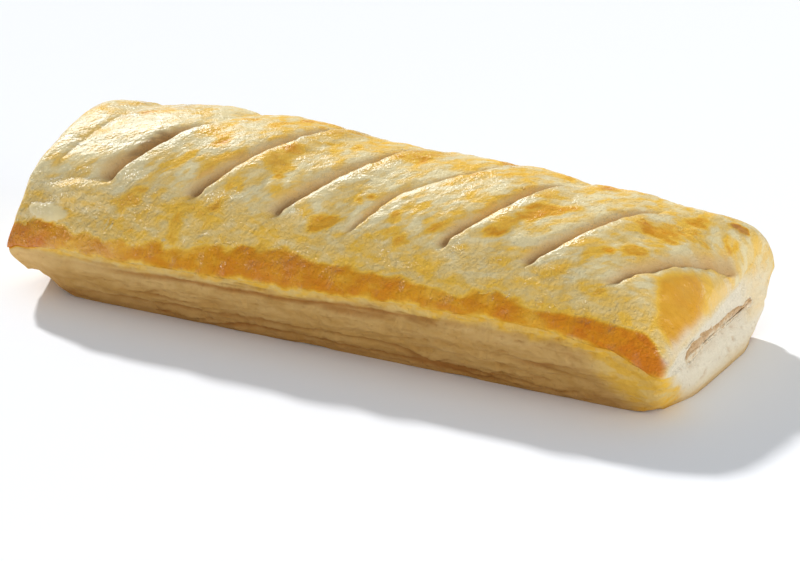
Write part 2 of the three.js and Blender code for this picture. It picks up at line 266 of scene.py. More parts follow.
# Mesh density
ALONG_SPACING = 0.5
FEWEST_LINES = 16
FINE_STEPS = 2001
TOP_STEPS = 150
BACK_STEPS = 30
BASE_STEPS = 40
BAND_STEPS = 50
FACE_STEPS = 20
TUNNEL_STEPS = 8
MEAT_RING = 120
MEAT_STATIONS = 120
MEAT_CAP_RINGS = 16
EDGE_ROUNDS = 26  # passes that round the edges of both ends
EDGE_REACH = (1, 9)  # rings from an edge where the rounding starts to weaken and where it ends
EDGE_YIELD = 0.9
EDGE_SPACING = 0.5  # rings further apart than this yield less, so the rounding stays as narrow
MARK_ROUNDS = 5
FLAT_Z = 0.05  # points lower than this belong to the flat underside


# ---------------------------------------------------------------- arithmetic

def smooth(low, high, value):
    """0 below low, 1 above high, eased between them."""
    t = np.clip((value - low) / (high - low), 0, 1)
    return t * t * (3 - 2 * t)


def mix(a, b, t):
    """A at 0, b at 1, and in between for a t in between."""
    return a + (b - a) * t


def hump(centre, half, value):
    """1 at the centre, 0 beyond half either side."""
    return 1 - smooth(0, half, np.abs(value - centre))


def along(line, x, column=1):
    """Value at x of a line of (x, value) points, eased between them."""
    points = np.array(line, float)
    xs = points[:, 0]
    at = np.clip(x, xs[0], xs[-1])
    after = np.clip(np.searchsorted(xs, at), 1, len(xs) - 1)
    before = after - 1
    share = smooth(0, 1, (at - xs[before]) / (xs[after] - xs[before]))
    return mix(points[before, column], points[after, column], share)


def scrambled(cell, seed):
    """A pseudo-random number from 0 to 1 for each whole-numbered cell (..., 3)."""
    n = cell.astype(np.uint32)
    h = n[..., 0] * np.uint32(374761393) + n[..., 1] * np.uint32(668265263)
    h = h + n[..., 2] * np.uint32(2246822519) + np.uint32(seed * 3266489917 % 4294967296)
    h = (h ^ (h >> np.uint32(13))) * np.uint32(1274126177)
    h = (h ^ (h >> np.uint32(16))) * np.uint32(2654435761)
    return ((h ^ (h >> np.uint32(15))) & np.uint32(0xFFFFFF)) / 16777216.0


def noise(points, size, seed):
    """Smooth noise from about -1 to 1 at points (..., 3) in mm. Size is the grain, one or three mm."""
    p = points / np.asarray(size, float) + 1000.0
    cell = np.floor(p).astype(np.int64)
    f = p - cell
    w = f * f * f * (f * (f * 6 - 15) + 10)
    total = np.zeros(p.shape[:-1])
    for corner in np.ndindex(2, 2, 2):
        at = cell + np.array(corner)
        turn = scrambled(at, seed) * 2 * np.pi
        tilt = scrambled(at, seed + 71) * 2 - 1
        flat = np.sqrt(1 - tilt * tilt)
        off = f - np.array(corner)
        slope = flat * (np.cos(turn) * off[..., 0] + np.sin(turn) * off[..., 1]) + tilt * off[..., 2]
        weight = np.prod(np.where(np.array(corner) == 1, w, 1 - w), axis=-1)
        total += weight * slope
    return total * 1.6


def layered_noise(points, size, seed, octaves=3, gain=0.5):
    """Noise with finer grains added, each half the size of the one before."""
    size = np.asarray(size, float)
    return sum(gain ** k * noise(points, size / 2 ** k, seed + 17 * k) for k in range(octaves))


def stack(x, y, z):
    """Points (..., 3) from their x, y and z, which may be arrays or single numbers."""
    return np.stack(np.broadcast_arrays(x, y, z), -1).astype(float)


# ---------------------------------------------------------------- outline of the pastry

def dome_rise(turn):
    """Share of the dome's height, with turn 1 at the front nose and -1 at the back nose."""
    front = (1 - np.abs(turn) ** FRONT_FALL[0]) ** FRONT_FALL[1]
    back = (1 - np.abs(turn) ** BACK_FALL[0]) ** BACK_FALL[1]
    return np.where(turn > 0, front, back)


def dome_y(turn):
    """y on the dome, with turn 1 at the front nose and -1 at the back nose."""
    return CREST_Y - turn * np.where(turn > 0, CREST_Y - FRONT_Y, BACK_Y - CREST_Y)


def make_ring():
    """The steps of one section: front nose, over the top, down the back, underside, up the band."""
    fine = np.cos(np.pi * np.linspace(0, 1, FINE_STEPS))
    y, z = dome_y(fine), DOME_HEIGHT * dome_rise(fine)
    length = np.concatenate([[0], np.cumsum(np.hypot(np.diff(y), np.diff(z)))])
    over_top = np.linspace(0, length[-1], TOP_STEPS + 1)
    turn = np.interp(over_top, length, fine)
    quarter = np.arange(1, BACK_STEPS + 1) / BACK_STEPS * np.pi / 2
    under = np.arange(1, BASE_STEPS + 1) / BASE_STEPS
    rising = np.arange(1, BAND_STEPS) / BAND_STEPS
    up = np.minimum(1, rising * BAND_ROUNDING)
    kind = np.repeat([TOP, BACK, BASE, BAND], [len(turn), len(quarter), len(under), len(rising)])
    ring_y = np.concatenate([
        dome_y(turn),
        mix(BASE_BACK_Y, BACK_Y, np.cos(quarter) ** BACK_ROUNDING),
        mix(BASE_BACK_Y, BASE_FRONT_Y, under),
        mix(BASE_FRONT_Y, BAND_FRONT_Y, np.sin(up * np.pi / 2)),
    ])
    rise = np.concatenate([dome_rise(turn), 1 - np.sin(quarter), np.zeros(len(under)), rising])
    arc = np.concatenate([
        over_top,
        length[-1] + quarter * BACK_RADIUS,
        np.full(len(under), length[-1] + UNDERSIDE_ARC),
        -BAND_HEIGHT * (1 - rising),
    ])
    return {"kind": kind, "y": ring_y, "rise": rise, "arc": arc, "size": len(kind)}


def press_share(from_end, length, power, root):
    """Share of the height left at a distance from a pressed end."""
    t = np.clip(1 - from_end / length, 0, 1)
    return (1 - t ** power) ** root


def end_press(x, y):
    """Share of the dome's height that the pressed ends leave."""
    fold = smooth(*FOLD_Y, y)
    right = [mix(a, b, fold) for a, b in zip(RIGHT_PRESS, BACK_PRESS)]
    kept = press_share(HALF_LENGTH + x, *LEFT_PRESS) * press_share(HALF_LENGTH - x, *right)
    return mix(mix(LID_CREST, LID_BACK, fold), 1, kept)


def lean_at(y):
    """How far along the roll a slash with lean 1 has moved at y."""
    first, last = LEAN_HOLD
    before, beyond = LEAN_STOP
    held = np.where(y < first, first + before * np.tanh((y - first) / before), y)
    held = np.where(y > last, last + beyond * np.tanh((y - last) / beyond), held)
    across = held - LEAN_START
    reach, fade = LEAN_BEND
    return LEAN_RATE * across + reach * (1 - np.exp(-across / fade))


def slash_x(slash, y):
    """x of a slash's line at y."""
    return slash.x + slash.lean * lean_at(y) + slash.kick * smooth(*KICK_ALONG, y)


def anchor_x(anchor, y):
    """Where a slash, or an end of the roll given as its x, lies at y."""
    if not isinstance(anchor, Slash):
        return np.full_like(y, anchor, dtype=float)
    return LINE_END - np.logaddexp(0, LINE_END - slash_x(anchor, y))


def mesh_lines(y):
    """x of every mesh line at the ring's y values, and each line's place in its strip."""
    anchors = [-HALF_LENGTH, *SLASHES, HALF_LENGTH]
    rows, places = [], []
    for here, there in zip(anchors, anchors[1:]):
        count = max(FEWEST_LINES, round((np.ravel(there)[0] - np.ravel(here)[0]) / ALONG_SPACING))
        even = np.arange(count) / count
        bunched = even - LINE_BUNCHING * np.sin(2 * np.pi * even)
        a, b = anchor_x(here, y), anchor_x(there, y)
        rows += [mix(a, b, s) for s in bunched]
        places += list(even)
    rows.append(anchor_x(anchors[-1], y))
    places.append(1.0)
    return np.array(rows), np.array(places)


def outline_z(ring, x):
    """Height of the smooth outline at each mesh line and ring step."""
    rim = along(RIM_LINE, x)
    nose = mix(rim, BACK_NOSE_Z, smooth(FRONT_Y, BACK_Y, ring["y"]))
    dome = nose + (along(CREST_LINE, x) - nose) * ring["rise"] * end_press(x, ring["y"])
    kinds = [ring["kind"] == k for k in (TOP, BACK, BASE, BAND)]
    return np.select(kinds, [dome, BACK_NOSE_Z * ring["rise"], 0 * x, rim * ring["rise"]])


def corner_lift(x, y):
    """Lift of the underside at the two front corners."""
    left = along(LEFT_LIFT_LINE, x) * (1 - smooth(0, LEFT_LIFT_DEPTH, y - FRONT_Y))
    height, length, depth = RIGHT_LIFT
    right = height * (1 - smooth(0, length, HALF_LENGTH - x)) * (1 - smooth(0, depth, y - FRONT_Y))
    return left + right


def end_inset(x, y, z, top):
    """How far the end face leans in from the full length."""
    right = x > 0
    back_of_tip = smooth(0, TIP_WIDTH, y - FRONT_Y)
    tip = np.where(right, TIP_REACH * back_of_tip, LEFT_TIP_REACH * (back_of_tip - 1))
    inset = tip + BACK_CORNER_INSET * smooth(BACK_CORNER_Y, BACK_Y, y)
    low = (1 - np.clip(z / BACK_NOSE_Z, 0, 1)) ** INSET_POWER
    corner = 1 - smooth(0, CORNER_WIDTH, np.abs(y - BASE_FRONT_Y))
    foot = low * (BASE_INSET + np.where(right, RIGHT_CORNER_INSET, LEFT_CORNER_INSET) * corner)
    high_low = np.clip(1 - z / (BACK_NOSE_Z + BACK_FOOT_RISE), 0, 1) ** BACK_FOOT_POWER
    foot = foot + high_low * BACK_FOOT_INSET * smooth(BACK_CORNER_Y, BACK_FOOT_Y, y)
    return inset + np.where(top, 0, foot)


# ---------------------------------------------------------------- slashes

def slash_fields(x, y):
    """Relief of the slashes, sideways lean of their lips, and masks for wall, valley and lip."""
    flat = stack(x, y, 0 * x)
    relief, shove = np.zeros_like(x), np.zeros_like(x)
    masks = {name: np.zeros_like(x) for name in ("wall", "depth", "lip", "ridge", "torn", "beyond")}
    steepness = (lean_at(y + 0.05) - lean_at(y - 0.05)) / 0.1
    for i, slash in enumerate(SLASHES):
        _, lean, depth, front, back, wall, gape, kick = slash
        ragged = 0.34 * noise(flat, 6.5, 300 + i) + 0.26 * noise(flat, 2.1, 320 + i)
        shoulder = 0.9 * noise(flat, 7.0, 340 + i)
        squarely = 1 / np.sqrt(1 + (lean * steepness) ** 2)
        d = (x - slash_x(slash, y)) * squarely - ragged
        opening = smooth(front, front + SLASH_RUN_IN, y) * (1 - smooth(back - SLASH_FADE, back, y))
        opening *= 1 + 0.12 * noise(flat, 9.0, 360 + i)
        opening *= 1 - 0.85 * bool(kick) * hump(*NEARLY_CLOSED, y + noise(flat, 3.0, 365))
        taper = (0.42 + 0.58 * smooth(front, front + 6, y)) * (1 - 0.35 * smooth(back - 9, back, y))
        gaping = gape * taper
        width = np.maximum(0.5, (wall + shoulder) * taper)
        t = np.clip(1 + (d + gaping) / width, 0, 1)
        down = -(t ** WALL_POWER)
        climb = np.clip(d / LIP_WIDTH, 0, 1)
        up = mix(-1, LIP_RISE, 1 - (1 - climb) ** LIP_POWER)
        fade = LIP_RISE * (1 - smooth(LIP_WIDTH, LIP_WIDTH + LIP_FADE, d))
        relief += depth * opening * np.where(d < 0, down, np.where(d < LIP_WIDTH, up, fade))
        over = smooth(0.2, 1.0, d) * (1 - smooth(1.2, 3.6, d))
        shove += LIP_OVERHANG * min(1, depth / OVERHANG_DEPTH) * opening * over
        shown = smooth(0.05, 0.6, opening) * min(1, depth / SHOWN_DEPTH)
        wall_mask = smooth(-width * 0.95, -width * 0.2, d + gaping) * (1 - smooth(0.2, 0.9, d)) * shown
        masks["wall"] = np.maximum(masks["wall"], wall_mask)
        sunk = np.where(d < 0, t ** VALLEY_POWER, 1 - smooth(0.2, 0.8, d))
        masks["depth"] = np.maximum(masks["depth"], sunk * shown)
        lip_mask = smooth(0.3, 0.9, d) * (1 - smooth(1.4, 3.0, d))
        masks["lip"] = np.maximum(masks["lip"], lip_mask * shown)
        ridge_mask = smooth(0.3, 1.2, d) * (1 - smooth(3.5, 7.0, d))
        masks["ridge"] = np.maximum(masks["ridge"], ridge_mask * shown)
        masks["beyond"] = d
        if gape > TORN_GAPE:
            reach = 4.3 + 1.5 * noise(flat, 1.6, 380)
            torn = smooth(-reach, -reach + 0.7, d) * (1 - smooth(0.2, 0.6, d))
            torn = 0.8 * torn * smooth(*TORN_ACROSS[:2], y) * (1 - smooth(*TORN_ACROSS[2:], y))
            masks["torn"] = torn * shown
    return relief, shove, masks


def fold_ridge(x, y):
    """Raised fold with a hollow behind it, left of the widest slash."""
    left, right, first_y, rise = FOLD_RIDGE
    across = y - (first_y + rise * (x - left))
    here = smooth(left, left + RIDGE_FADE, x) * (1 - smooth(right - RIDGE_FADE, right, x))
    return here * (0.75 * hump(0, 3.0, across) - 0.65 * hump(3.0, 2.6, across))


def pillow(x, y):
    """Swelling of the slashed area."""
    across = smooth(*PILLOW_ACROSS[:2], y) * (1 - smooth(*PILLOW_ACROSS[2:], y))
    return PILLOW_HEIGHT * across * smooth(*PILLOW_ALONG[:2], x) * (1 - smooth(*PILLOW_ALONG[2:], x))


# ---------------------------------------------------------------- surface of the pastry

def ellipse(x, y, patch, ragged):
    """Baked patch with a broken edge, 1 in its middle."""
    px, py, length, width, turn, _ = patch
    a = math.radians(turn)
    u = ((x - px) * math.cos(a) + (y - py) * math.sin(a)) / length
    v = (-(x - px) * math.sin(a) + (y - py) * math.cos(a)) / width
    return 1 - smooth(0.6, 1.2, np.hypot(u, v) + ragged)


def blister_dome(x, z):
    """1 in the middle of the pale blister near the left front corner, 0 outside it."""
    bx, bz, half_length, half_height = BLISTER
    reach = ((x - bx) / half_length) ** 2 + ((z - bz) / half_height) ** 2
    reach += 0.25 * noise(stack(x, 0 * x, z), 2.5, 29)
    return np.sqrt(np.clip(1 - reach, 0, 1))


def layers(points):
    """Relief and seams of the puffed layers on a side: long, softly wavy lines."""
    relief = 0.34 * noise(points, (22, 22, 2.4), 401) + 0.32 * noise(points, (9, 9, 1.3), 402)
    relief += 0.34 * noise(points, (4, 4, 1.0), 403) + 0.18 * noise(points, 0.9, 408)
    seam = np.zeros(points.shape[:-1])
    for darkness, length, height, sharpness, seed, run, rise, limits, run_seed in SEAMS:
        line = 1 - np.abs(noise(points, (length, length, height), seed)) * sharpness
        shown = smooth(*limits, noise(points, (run, run, rise), run_seed))
        seam = np.maximum(seam, darkness * smooth(0.7, 1, line) * shown)
    return relief - 0.6 * seam, seam


def grid_normals(points):
    """Normals of a grid of points that closes round its second axis."""
    along_roll = np.gradient(points, axis=0)
    round_ring = (np.roll(points, -1, 1) - np.roll(points, 1, 1)) / 2
    normal = np.cross(round_ring, along_roll)
    return -normal / np.maximum(np.linalg.norm(normal, axis=-1, keepdims=True), 1e-9)


def fine_top(points, arc, masks):
    """Fine relief of the top and of the rolled rim in front."""
    x, y, z = points[..., 0], points[..., 1], points[..., 2]
    smooth_wall = 1 - 0.6 * masks["wall"]
    streaked = stack(masks["flow"][..., 0] / MM, masks["flow"][..., 1] / MM, 0 * x)
    fine = 0.36 * noise(points, 15, 11) + 0.20 * noise(points, 6, 12)
    fine += smooth_wall * (0.10 * noise(streaked, 1.9, 13) + 0.14 * noise(points, 2.2, 14)
                           + 0.11 * noise(points, 1.15, 15))
    rim_roll = hump(2.6, 4.4, arc) * (0.34 + 0.3 * noise(points, (9, 9, 9), 16))
    fine += rim_roll + 0.28 * hump(2, 5, arc) * noise(points, (6, 3, 2.4), 17)
    fine -= 0.35 * hump(8.5, 3, arc) * smooth(-0.3, 0.4, noise(points, 14, 18))
    start, full, middle, half, rise = LEFT_SWELL
    pinch, pinch_half, depth = LEFT_PINCH
    left_end = smooth(-start, -full, -x)
    fine += left_end * (rise * hump(middle, half, arc) - depth * hump(pinch, pinch_half, arc))
    blister = blister_dome(x, z) * (y < BLISTER_FRONT_Y)
    fine += BLISTER_HEIGHT * blister
    fine += masks["torn"] * (0.5 * noise(points, (2.4, 1.2, 1.2), 19) + 0.35 * noise(points, 0.9, 20))
    return fine


def fine_side(points, below, band, back):
    """Fine relief of the layered sides, and the painted shade in their seams and in the crease under the
    rim.
    """
    x, z = points[..., 0], points[..., 2]
    layered, seam = layers(points)
    crease_here = mix(0.2, 1, smooth(-56, -38, x) * (1 - smooth(12, 26, x)))
    # Painted shade: the crease under the rim is darkened as well as dipped in
    crease = hump(2.6 + 0.6 * noise(points, (12, 12, 30), 21), 0.8, below) * crease_here
    on_band = np.where(band, smooth(0, 1.2, z) * smooth(0.3, 1.6, below), 0)
    on_back = np.where(back, 0.6 * smooth(0, 2, z) * (1 - smooth(9, 13.5, z)), 0)
    calm_corner = smooth(-70, -56, x) * (1 - 0.65 * smooth(56, 68, x))
    sides = on_band * calm_corner + on_back
    fine = 0.30 * noise(points, (8, 8, 4), 22) + 0.22 * noise(points, 1.5, 23) + sides * layered
    fine += 0.4 * np.where(band, hump(6, 4.5, below), 0) - 0.5 * np.where(band, crease, 0)
    return fine, np.maximum(0.6 * seam * sides, 0.8 * crease * band)


def finish_marks(kind, arc, plain, points, masks):
    """What the outer skin tells the finish, from its points before and after the fine relief."""
    x, y, z = plain[..., 0], plain[..., 1], plain[..., 2]
    top, back, base, band = (kind == k for k in (TOP, BACK, BASE, BAND))
    edge = arc + 0.9 * noise(points, 5.5, 46) + 0.35 * noise(points, 1.6, 47)
    tone, even = browning(plain, arc, edge, masks["flow"] / MM, masks, kind)
    glaze = np.where(top, wetness(plain, arc, masks), 0)
    cut_line = along(LID_CUT, y) + 0.6 * noise(points, 4, 26)
    cut = np.where(top & (x > 60), 1 - smooth(-0.6, 0.6, z - cut_line + noise(points, 2.2, 27)), 0)
    cut = cut * smooth(*LID_CUT_ACROSS[:2], y) * (1 - smooth(*LID_CUT_ACROSS[2:], y))
    under_rim = 1 - smooth(-3.0, -0.6, edge)
    low_on_back = smooth(0, 4, BACK_NOSE_Z - z + 1.6 * noise(points, 9, 28))
    under = np.select([band, back, base], [under_rim, low_on_back, 1 + 0 * z], 0)
    under *= 1 - 0.75 * smooth(63, 70, x + 0.6 * z) * band
    # Painted shade: the valleys of the slashes, the seams and the crease on the sides, and the sides low by
    # the floor are darkened
    deep = 0.9 * masks["depth"] * masks["wall"]
    dark = np.select([top, band | back], [deep, masks["shade"]], 0)
    floor_shade = np.where(band | back, 1 - smooth(0.5, 5, z), 0)
    toasted = DARK_FLAKE.browning * ellipse(x, y, DARK_FLAKE, 0.5 * noise(points, 1.6, 44))
    return {
        "browning": tone, "glaze": glaze * (1 - cut), "bare": masks["wall"] * top, "side": under,
        "crease": np.clip(dark + 0.38 * floor_shade, 0, 1), "cream": 0.85 * cut,
        "torn": np.maximum(masks["torn"], toasted) * top, "slant": masks["slant"], "even": even,
        "flow": masks["flow"],
    }


def outer_skin(ring):
    """Points of the outer skin (lines, ring, 3) in mm, with what they tell the finish."""
    x, place = mesh_lines(ring["y"])
    y = np.broadcast_to(ring["y"], x.shape).copy()
    z = outline_z(ring, x)
    kind = np.broadcast_to(ring["kind"], x.shape)
    arc = np.broadcast_to(ring["arc"], x.shape)
    top, back, base, band = (kind == k for k in (TOP, BACK, BASE, BAND))
    near_end = smooth(HALF_LENGTH - INSET_LENGTH, HALF_LENGTH, np.abs(x))

    # Slashes and strips, pushed out from the core
    relief, shove, masks = slash_fields(x, y)
    swell = pillow(x, y)
    place = np.broadcast_to(place[:, None], x.shape)
    strip = STRIP_HEIGHT * np.sin(np.pi * place ** STRIP_SKEW) * swell / PILLOW_HEIGHT
    out = np.where(top, relief + swell + strip + fold_ridge(x, y), 0)
    away_y, away_z = y - CREST_Y, z - CORE_Z
    reach = np.maximum(np.hypot(away_y, away_z), 1e-6)
    lift = corner_lift(x, y)
    rim = along(RIM_LINE, x)
    z = np.where(top, z, np.maximum(z, lift + z * (rim - lift) / rim))
    masks["slant"] = smooth(*SLANTED[:2], y) * (1 - smooth(*SLANTED[2:], y)) * top
    fallen = np.where(top & (x < 0), END_RUN * ring["rise"] * (1 - end_press(x, y)), 0)
    along_flow = (x - fallen - FLOW_LEAN * lean_at(y)) * MM
    masks["flow"] = stack(along_flow, arc * FLOW_STRETCH * MM, 0 * x)
    inset = np.sign(x) * near_end * end_inset(x, y, z, top)
    y = y + away_y / reach * out
    z = z + away_z / reach * out
    x = x - inset - np.where(top, shove, 0)
    plain = stack(x, y, z)

    # Finer relief, pushed out along the normal
    calm = 1 - smooth(HALF_LENGTH - CALM_LENGTH, HALF_LENGTH, np.abs(x))
    side_fine, masks["shade"] = fine_side(plain, np.where(band, rim - z, 99), band, back)
    fine = np.select([top, base], [fine_top(plain, arc, masks), 0 * x], side_fine)
    points = plain + grid_normals(plain) * (fine * mix(CALM_SHARE, 1, calm))[..., None]
    hollow = 0.25 * smooth(0.05, 0.5, noise(stack(x, y, 0 * x), 11, 25))
    points[..., 2] = np.where(base, np.maximum(points[..., 2], lift + hollow * calm), points[..., 2])
    points[..., 2] = np.maximum(points[..., 2], 0)
    return points, finish_marks(kind, arc, plain, points, masks)


@lru_cache(maxsize=1)
def finished_skin():
    """The outer skin, worked out once for the case and its flakes."""
    ring = make_ring()
    return ring, *outer_skin(ring)


def strip_tone(points, slanted, ragged):
    """Browning of the slashed top and its baked patches."""
    x, y = points[..., 0], points[..., 1]
    slashed = smooth(-24, -17, y)
    # Painted sheen: the left end of the slashed top is painted paler, with less gold and fewer specks, in
    # place of a broad reflection in the glaze
    painted_sheen = smooth(34, 52, -x) * slashed
    tone = mix(0.34, 0.12, slashed) - 0.06 * painted_sheen + 0.12 * noise(points, 13, 41)
    tone += 0.10 * noise(points, 5, 42)
    gold = smooth(0.05, 0.22, noise(slanted, 5.5, 54) + 0.35 * noise(slanted, 2.1, 55))
    gold = 0.36 * gold * smooth(-0.3, 0.15, noise(points, 18, 56)) * slashed
    tone += gold * (1 - 0.6 * painted_sheen) * (1 - 0.5 * smooth(13, 21, y))
    speckle = smooth(0.10, 0.32, noise(slanted, 2.4, 61) + 0.3 * noise(slanted, 1.2, 62))
    tone += mix(0.08, 0.12, slashed) * speckle * (1 - 0.5 * painted_sheen)
    tone += 0.10 * smooth(-6, 6, y) * smooth(-0.3, 0.3, noise(slanted, 9, 60))
    tone = np.minimum(tone, STRIP_TONE_LIMIT)
    for patch in PATCHES:
        tone = tone + PATCH_STRENGTH * patch.browning * ellipse(x, y, patch, ragged)
    return tone


def side_browning(points, edge, band):
    """Browning of the layered sides, golden again towards the right end and just under the rim."""
    x, z = points[..., 0], points[..., 2]
    tone = 0.40 + 0.12 * noise(points, (16, 16, 4), 49) + 0.07 * noise(points, (9, 9, 1.2), 50)
    tone += 0.06 * noise(points, 2.2, 65)
    tone -= 0.20 * smooth(60, 72, x) + 0.12 * smooth(-60, -70, x)
    tone -= 0.14 * smooth(-5, -35, x) * smooth(5, 11, z) + 0.10 * smooth(8, 13, z)
    tone = mix(tone, 0.42, smooth(63, 70, x + 0.6 * z))
    return mix(tone, 0.38, smooth(-3.0, -0.9, edge) * band)


def browning(points, arc, edge, slanted, masks, kind):
    """How far each place is baked, 0 pale to 1 dark, and how even its colour is."""
    x, y, z = points[..., 0], points[..., 1], points[..., 2]
    top, back, band = kind == TOP, kind == BACK, kind == BAND
    ragged = 0.30 * noise(points, 3.0, 44) + 0.18 * noise(points, 1.2, 45)
    tone = strip_tone(points, slanted, ragged)

    # Golden slope at the right end
    first_x, first_y, leaning = GOLD_SLOPE
    onto_slope = x - (first_x + leaning * (y - first_y)) + ragged
    slope = smooth(-1.2, 1.8, onto_slope) * smooth(1.4, 2.2, masks["beyond"]) * smooth(-22, -19, y) * top
    slope_tone = SLOPE_TONE + 0.08 * noise(points, 5, 52) - 0.26 * smooth(8, 14, onto_slope)
    tone = np.minimum(mix(tone, slope_tone, 0.96 * slope), TOP_TONE_LIMIT)

    # Browned rim
    strength = along(RIM_BROWNING, x)
    height = along(RIM_BROWNING, x, 2) * RIM_REACH
    wavy = arc + 1.7 * noise(points, 4.5, 58) + 0.4 * noise(points, 1.8, 59)
    upper_edge = 1 - smooth(height - 2.4, height + 0.6, wavy)
    over_edge = edge + 1.6 * smooth(66, 72, -x)
    rim = RIM_STRENGTH * strength * smooth(-1.6, 1.1, over_edge) * upper_edge
    tone = np.maximum(tone, rim * (0.92 + 0.16 * noise(points, 4, 48)))

    # Single places
    tone = np.maximum(tone, DARK_FLAKE_TONE * ellipse(x, y, DARK_FLAKE, 1.6 * ragged) * top)
    blistered = 0.9 * smooth(0, 0.4, blister_dome(x, z)) * (y < BLISTER_FRONT_Y)
    tone = mix(tone, BLISTER_TONE, blistered)
    # The lips are painted pale: partly their pale cut edge, partly painted highlight
    tone = mix(tone, LIP_PALE_AND_HIGHLIGHT_TONE, masks["lip"] * (0.55 + 0.5 * noise(points, 7, 57)).clip(0, 0.9))

    side_tone = side_browning(points, edge, band)
    band_tone = mix(side_tone, np.maximum(side_tone, rim), smooth(-1.6, 1.1, over_edge))
    below = 0.46 + 0.12 * noise(points, 9, 51) + 0.08 * noise(points, 3, 53)
    tone = np.select([top, band, back], [tone, band_tone, side_tone + 0.06], below)
    return np.clip(tone, 0.02, 1), np.maximum(0.8 * slope, 0.9 * blistered)


def wetness(points, arc, masks):
    """How much glaze lies on the top: most at the left end and along the lips of the slashes."""
    x, y = points[..., 0], points[..., 1]
    pools = 0.35 * smooth(0.0, 0.3, noise(points, 8, 120))
    left = 0.45 * smooth(36, 54, -x)
    ridges = 0.6 * masks["ridge"] * smooth(-22, -18, y)
    drips = 1.2 * smooth(0.25, 0.42, noise(points, (2.2, 2.2, 3.2), 121)) * (1 - smooth(7, 11, arc))
    corner = 0.3 * smooth(65, 69, -x) * (1 - smooth(5, 8, arc))
    above_rim = mix(0.45, 1, smooth(5, 10, arc))
    covered = np.clip((0.3 + pools) * above_rim + left + ridges + drips + corner, 0, 1)
    return covered * (1 - 0.92 * masks["wall"]) * (1 - smooth(62, 74, arc))


def meat_section(x, share, upper, grow):
    """y and z of the filling's section at x. Share runs across from -1 to 1."""
    opened = smooth(0, SLIT_RUN, HALF_LENGTH - np.abs(x))
    half_width = mix(SLIT_HALF_WIDTH, MEAT_HALF_WIDTH, opened) + grow
    gape = along(SLIT_GAPE, np.where(x > 0, share, -share))
    mouth = np.maximum(MEAT_LEAST, gape + MEAT_OVERLAP)
    round_bar = MEAT_HALF_HEIGHT * np.sqrt(np.maximum(0, 1 - share * share))
    arch = SLIT_ARCH * (1 - opened) * (1 - share * share)
    centre_z = mix(SLIT_Z, MEAT_Z, opened) + arch
    bulge = mix(mouth, round_bar, opened ** SLIT_OPENING) + grow
    y = mix(SLIT_Y, MEAT_Y, opened) + half_width * share
    return y, centre_z + np.where(upper, bulge, -bulge)


def slit_share(ring):
    """Where each step of a section lies across the slit, from -1 in front to 1 at the back."""
    return np.clip(2 * (ring["y"] - FRONT_Y) / (BACK_Y - FRONT_Y) - 1, -1, 1)


def slit_mouth(ring, side):
    """Uneven edge of the slit at one end of the roll."""
    share = slit_share(ring)
    upper = ring["kind"] == TOP
    y = SLIT_Y + (SLIT_HALF_WIDTH + GAP) * share
    middle = SLIT_Z + SLIT_ARCH * (1 - share * share)
    seed = 60 if side > 0 else 63
    flat = stack(y, np.where(upper, 40.0, 80.0), 0 * y)
    half = along(SLIT_GAPE, share if side > 0 else -share)
    ragged = 0.28 * noise(flat, (1.7, 1, 1), seed) + 0.4 * noise(flat, (5, 1, 1), seed + 1)
    half = np.maximum(SLIT_LEAST, half + ragged * smooth(0, 0.4, half))
    wave = 0.5 * noise(stack(y, 0 * y, 0 * y), (9, 1, 1), seed + 2)
    x = side * (HALF_LENGTH - SLIT_BEHIND) + 0 * y
    return stack(x, y, middle + wave + np.where(upper, half, -half))


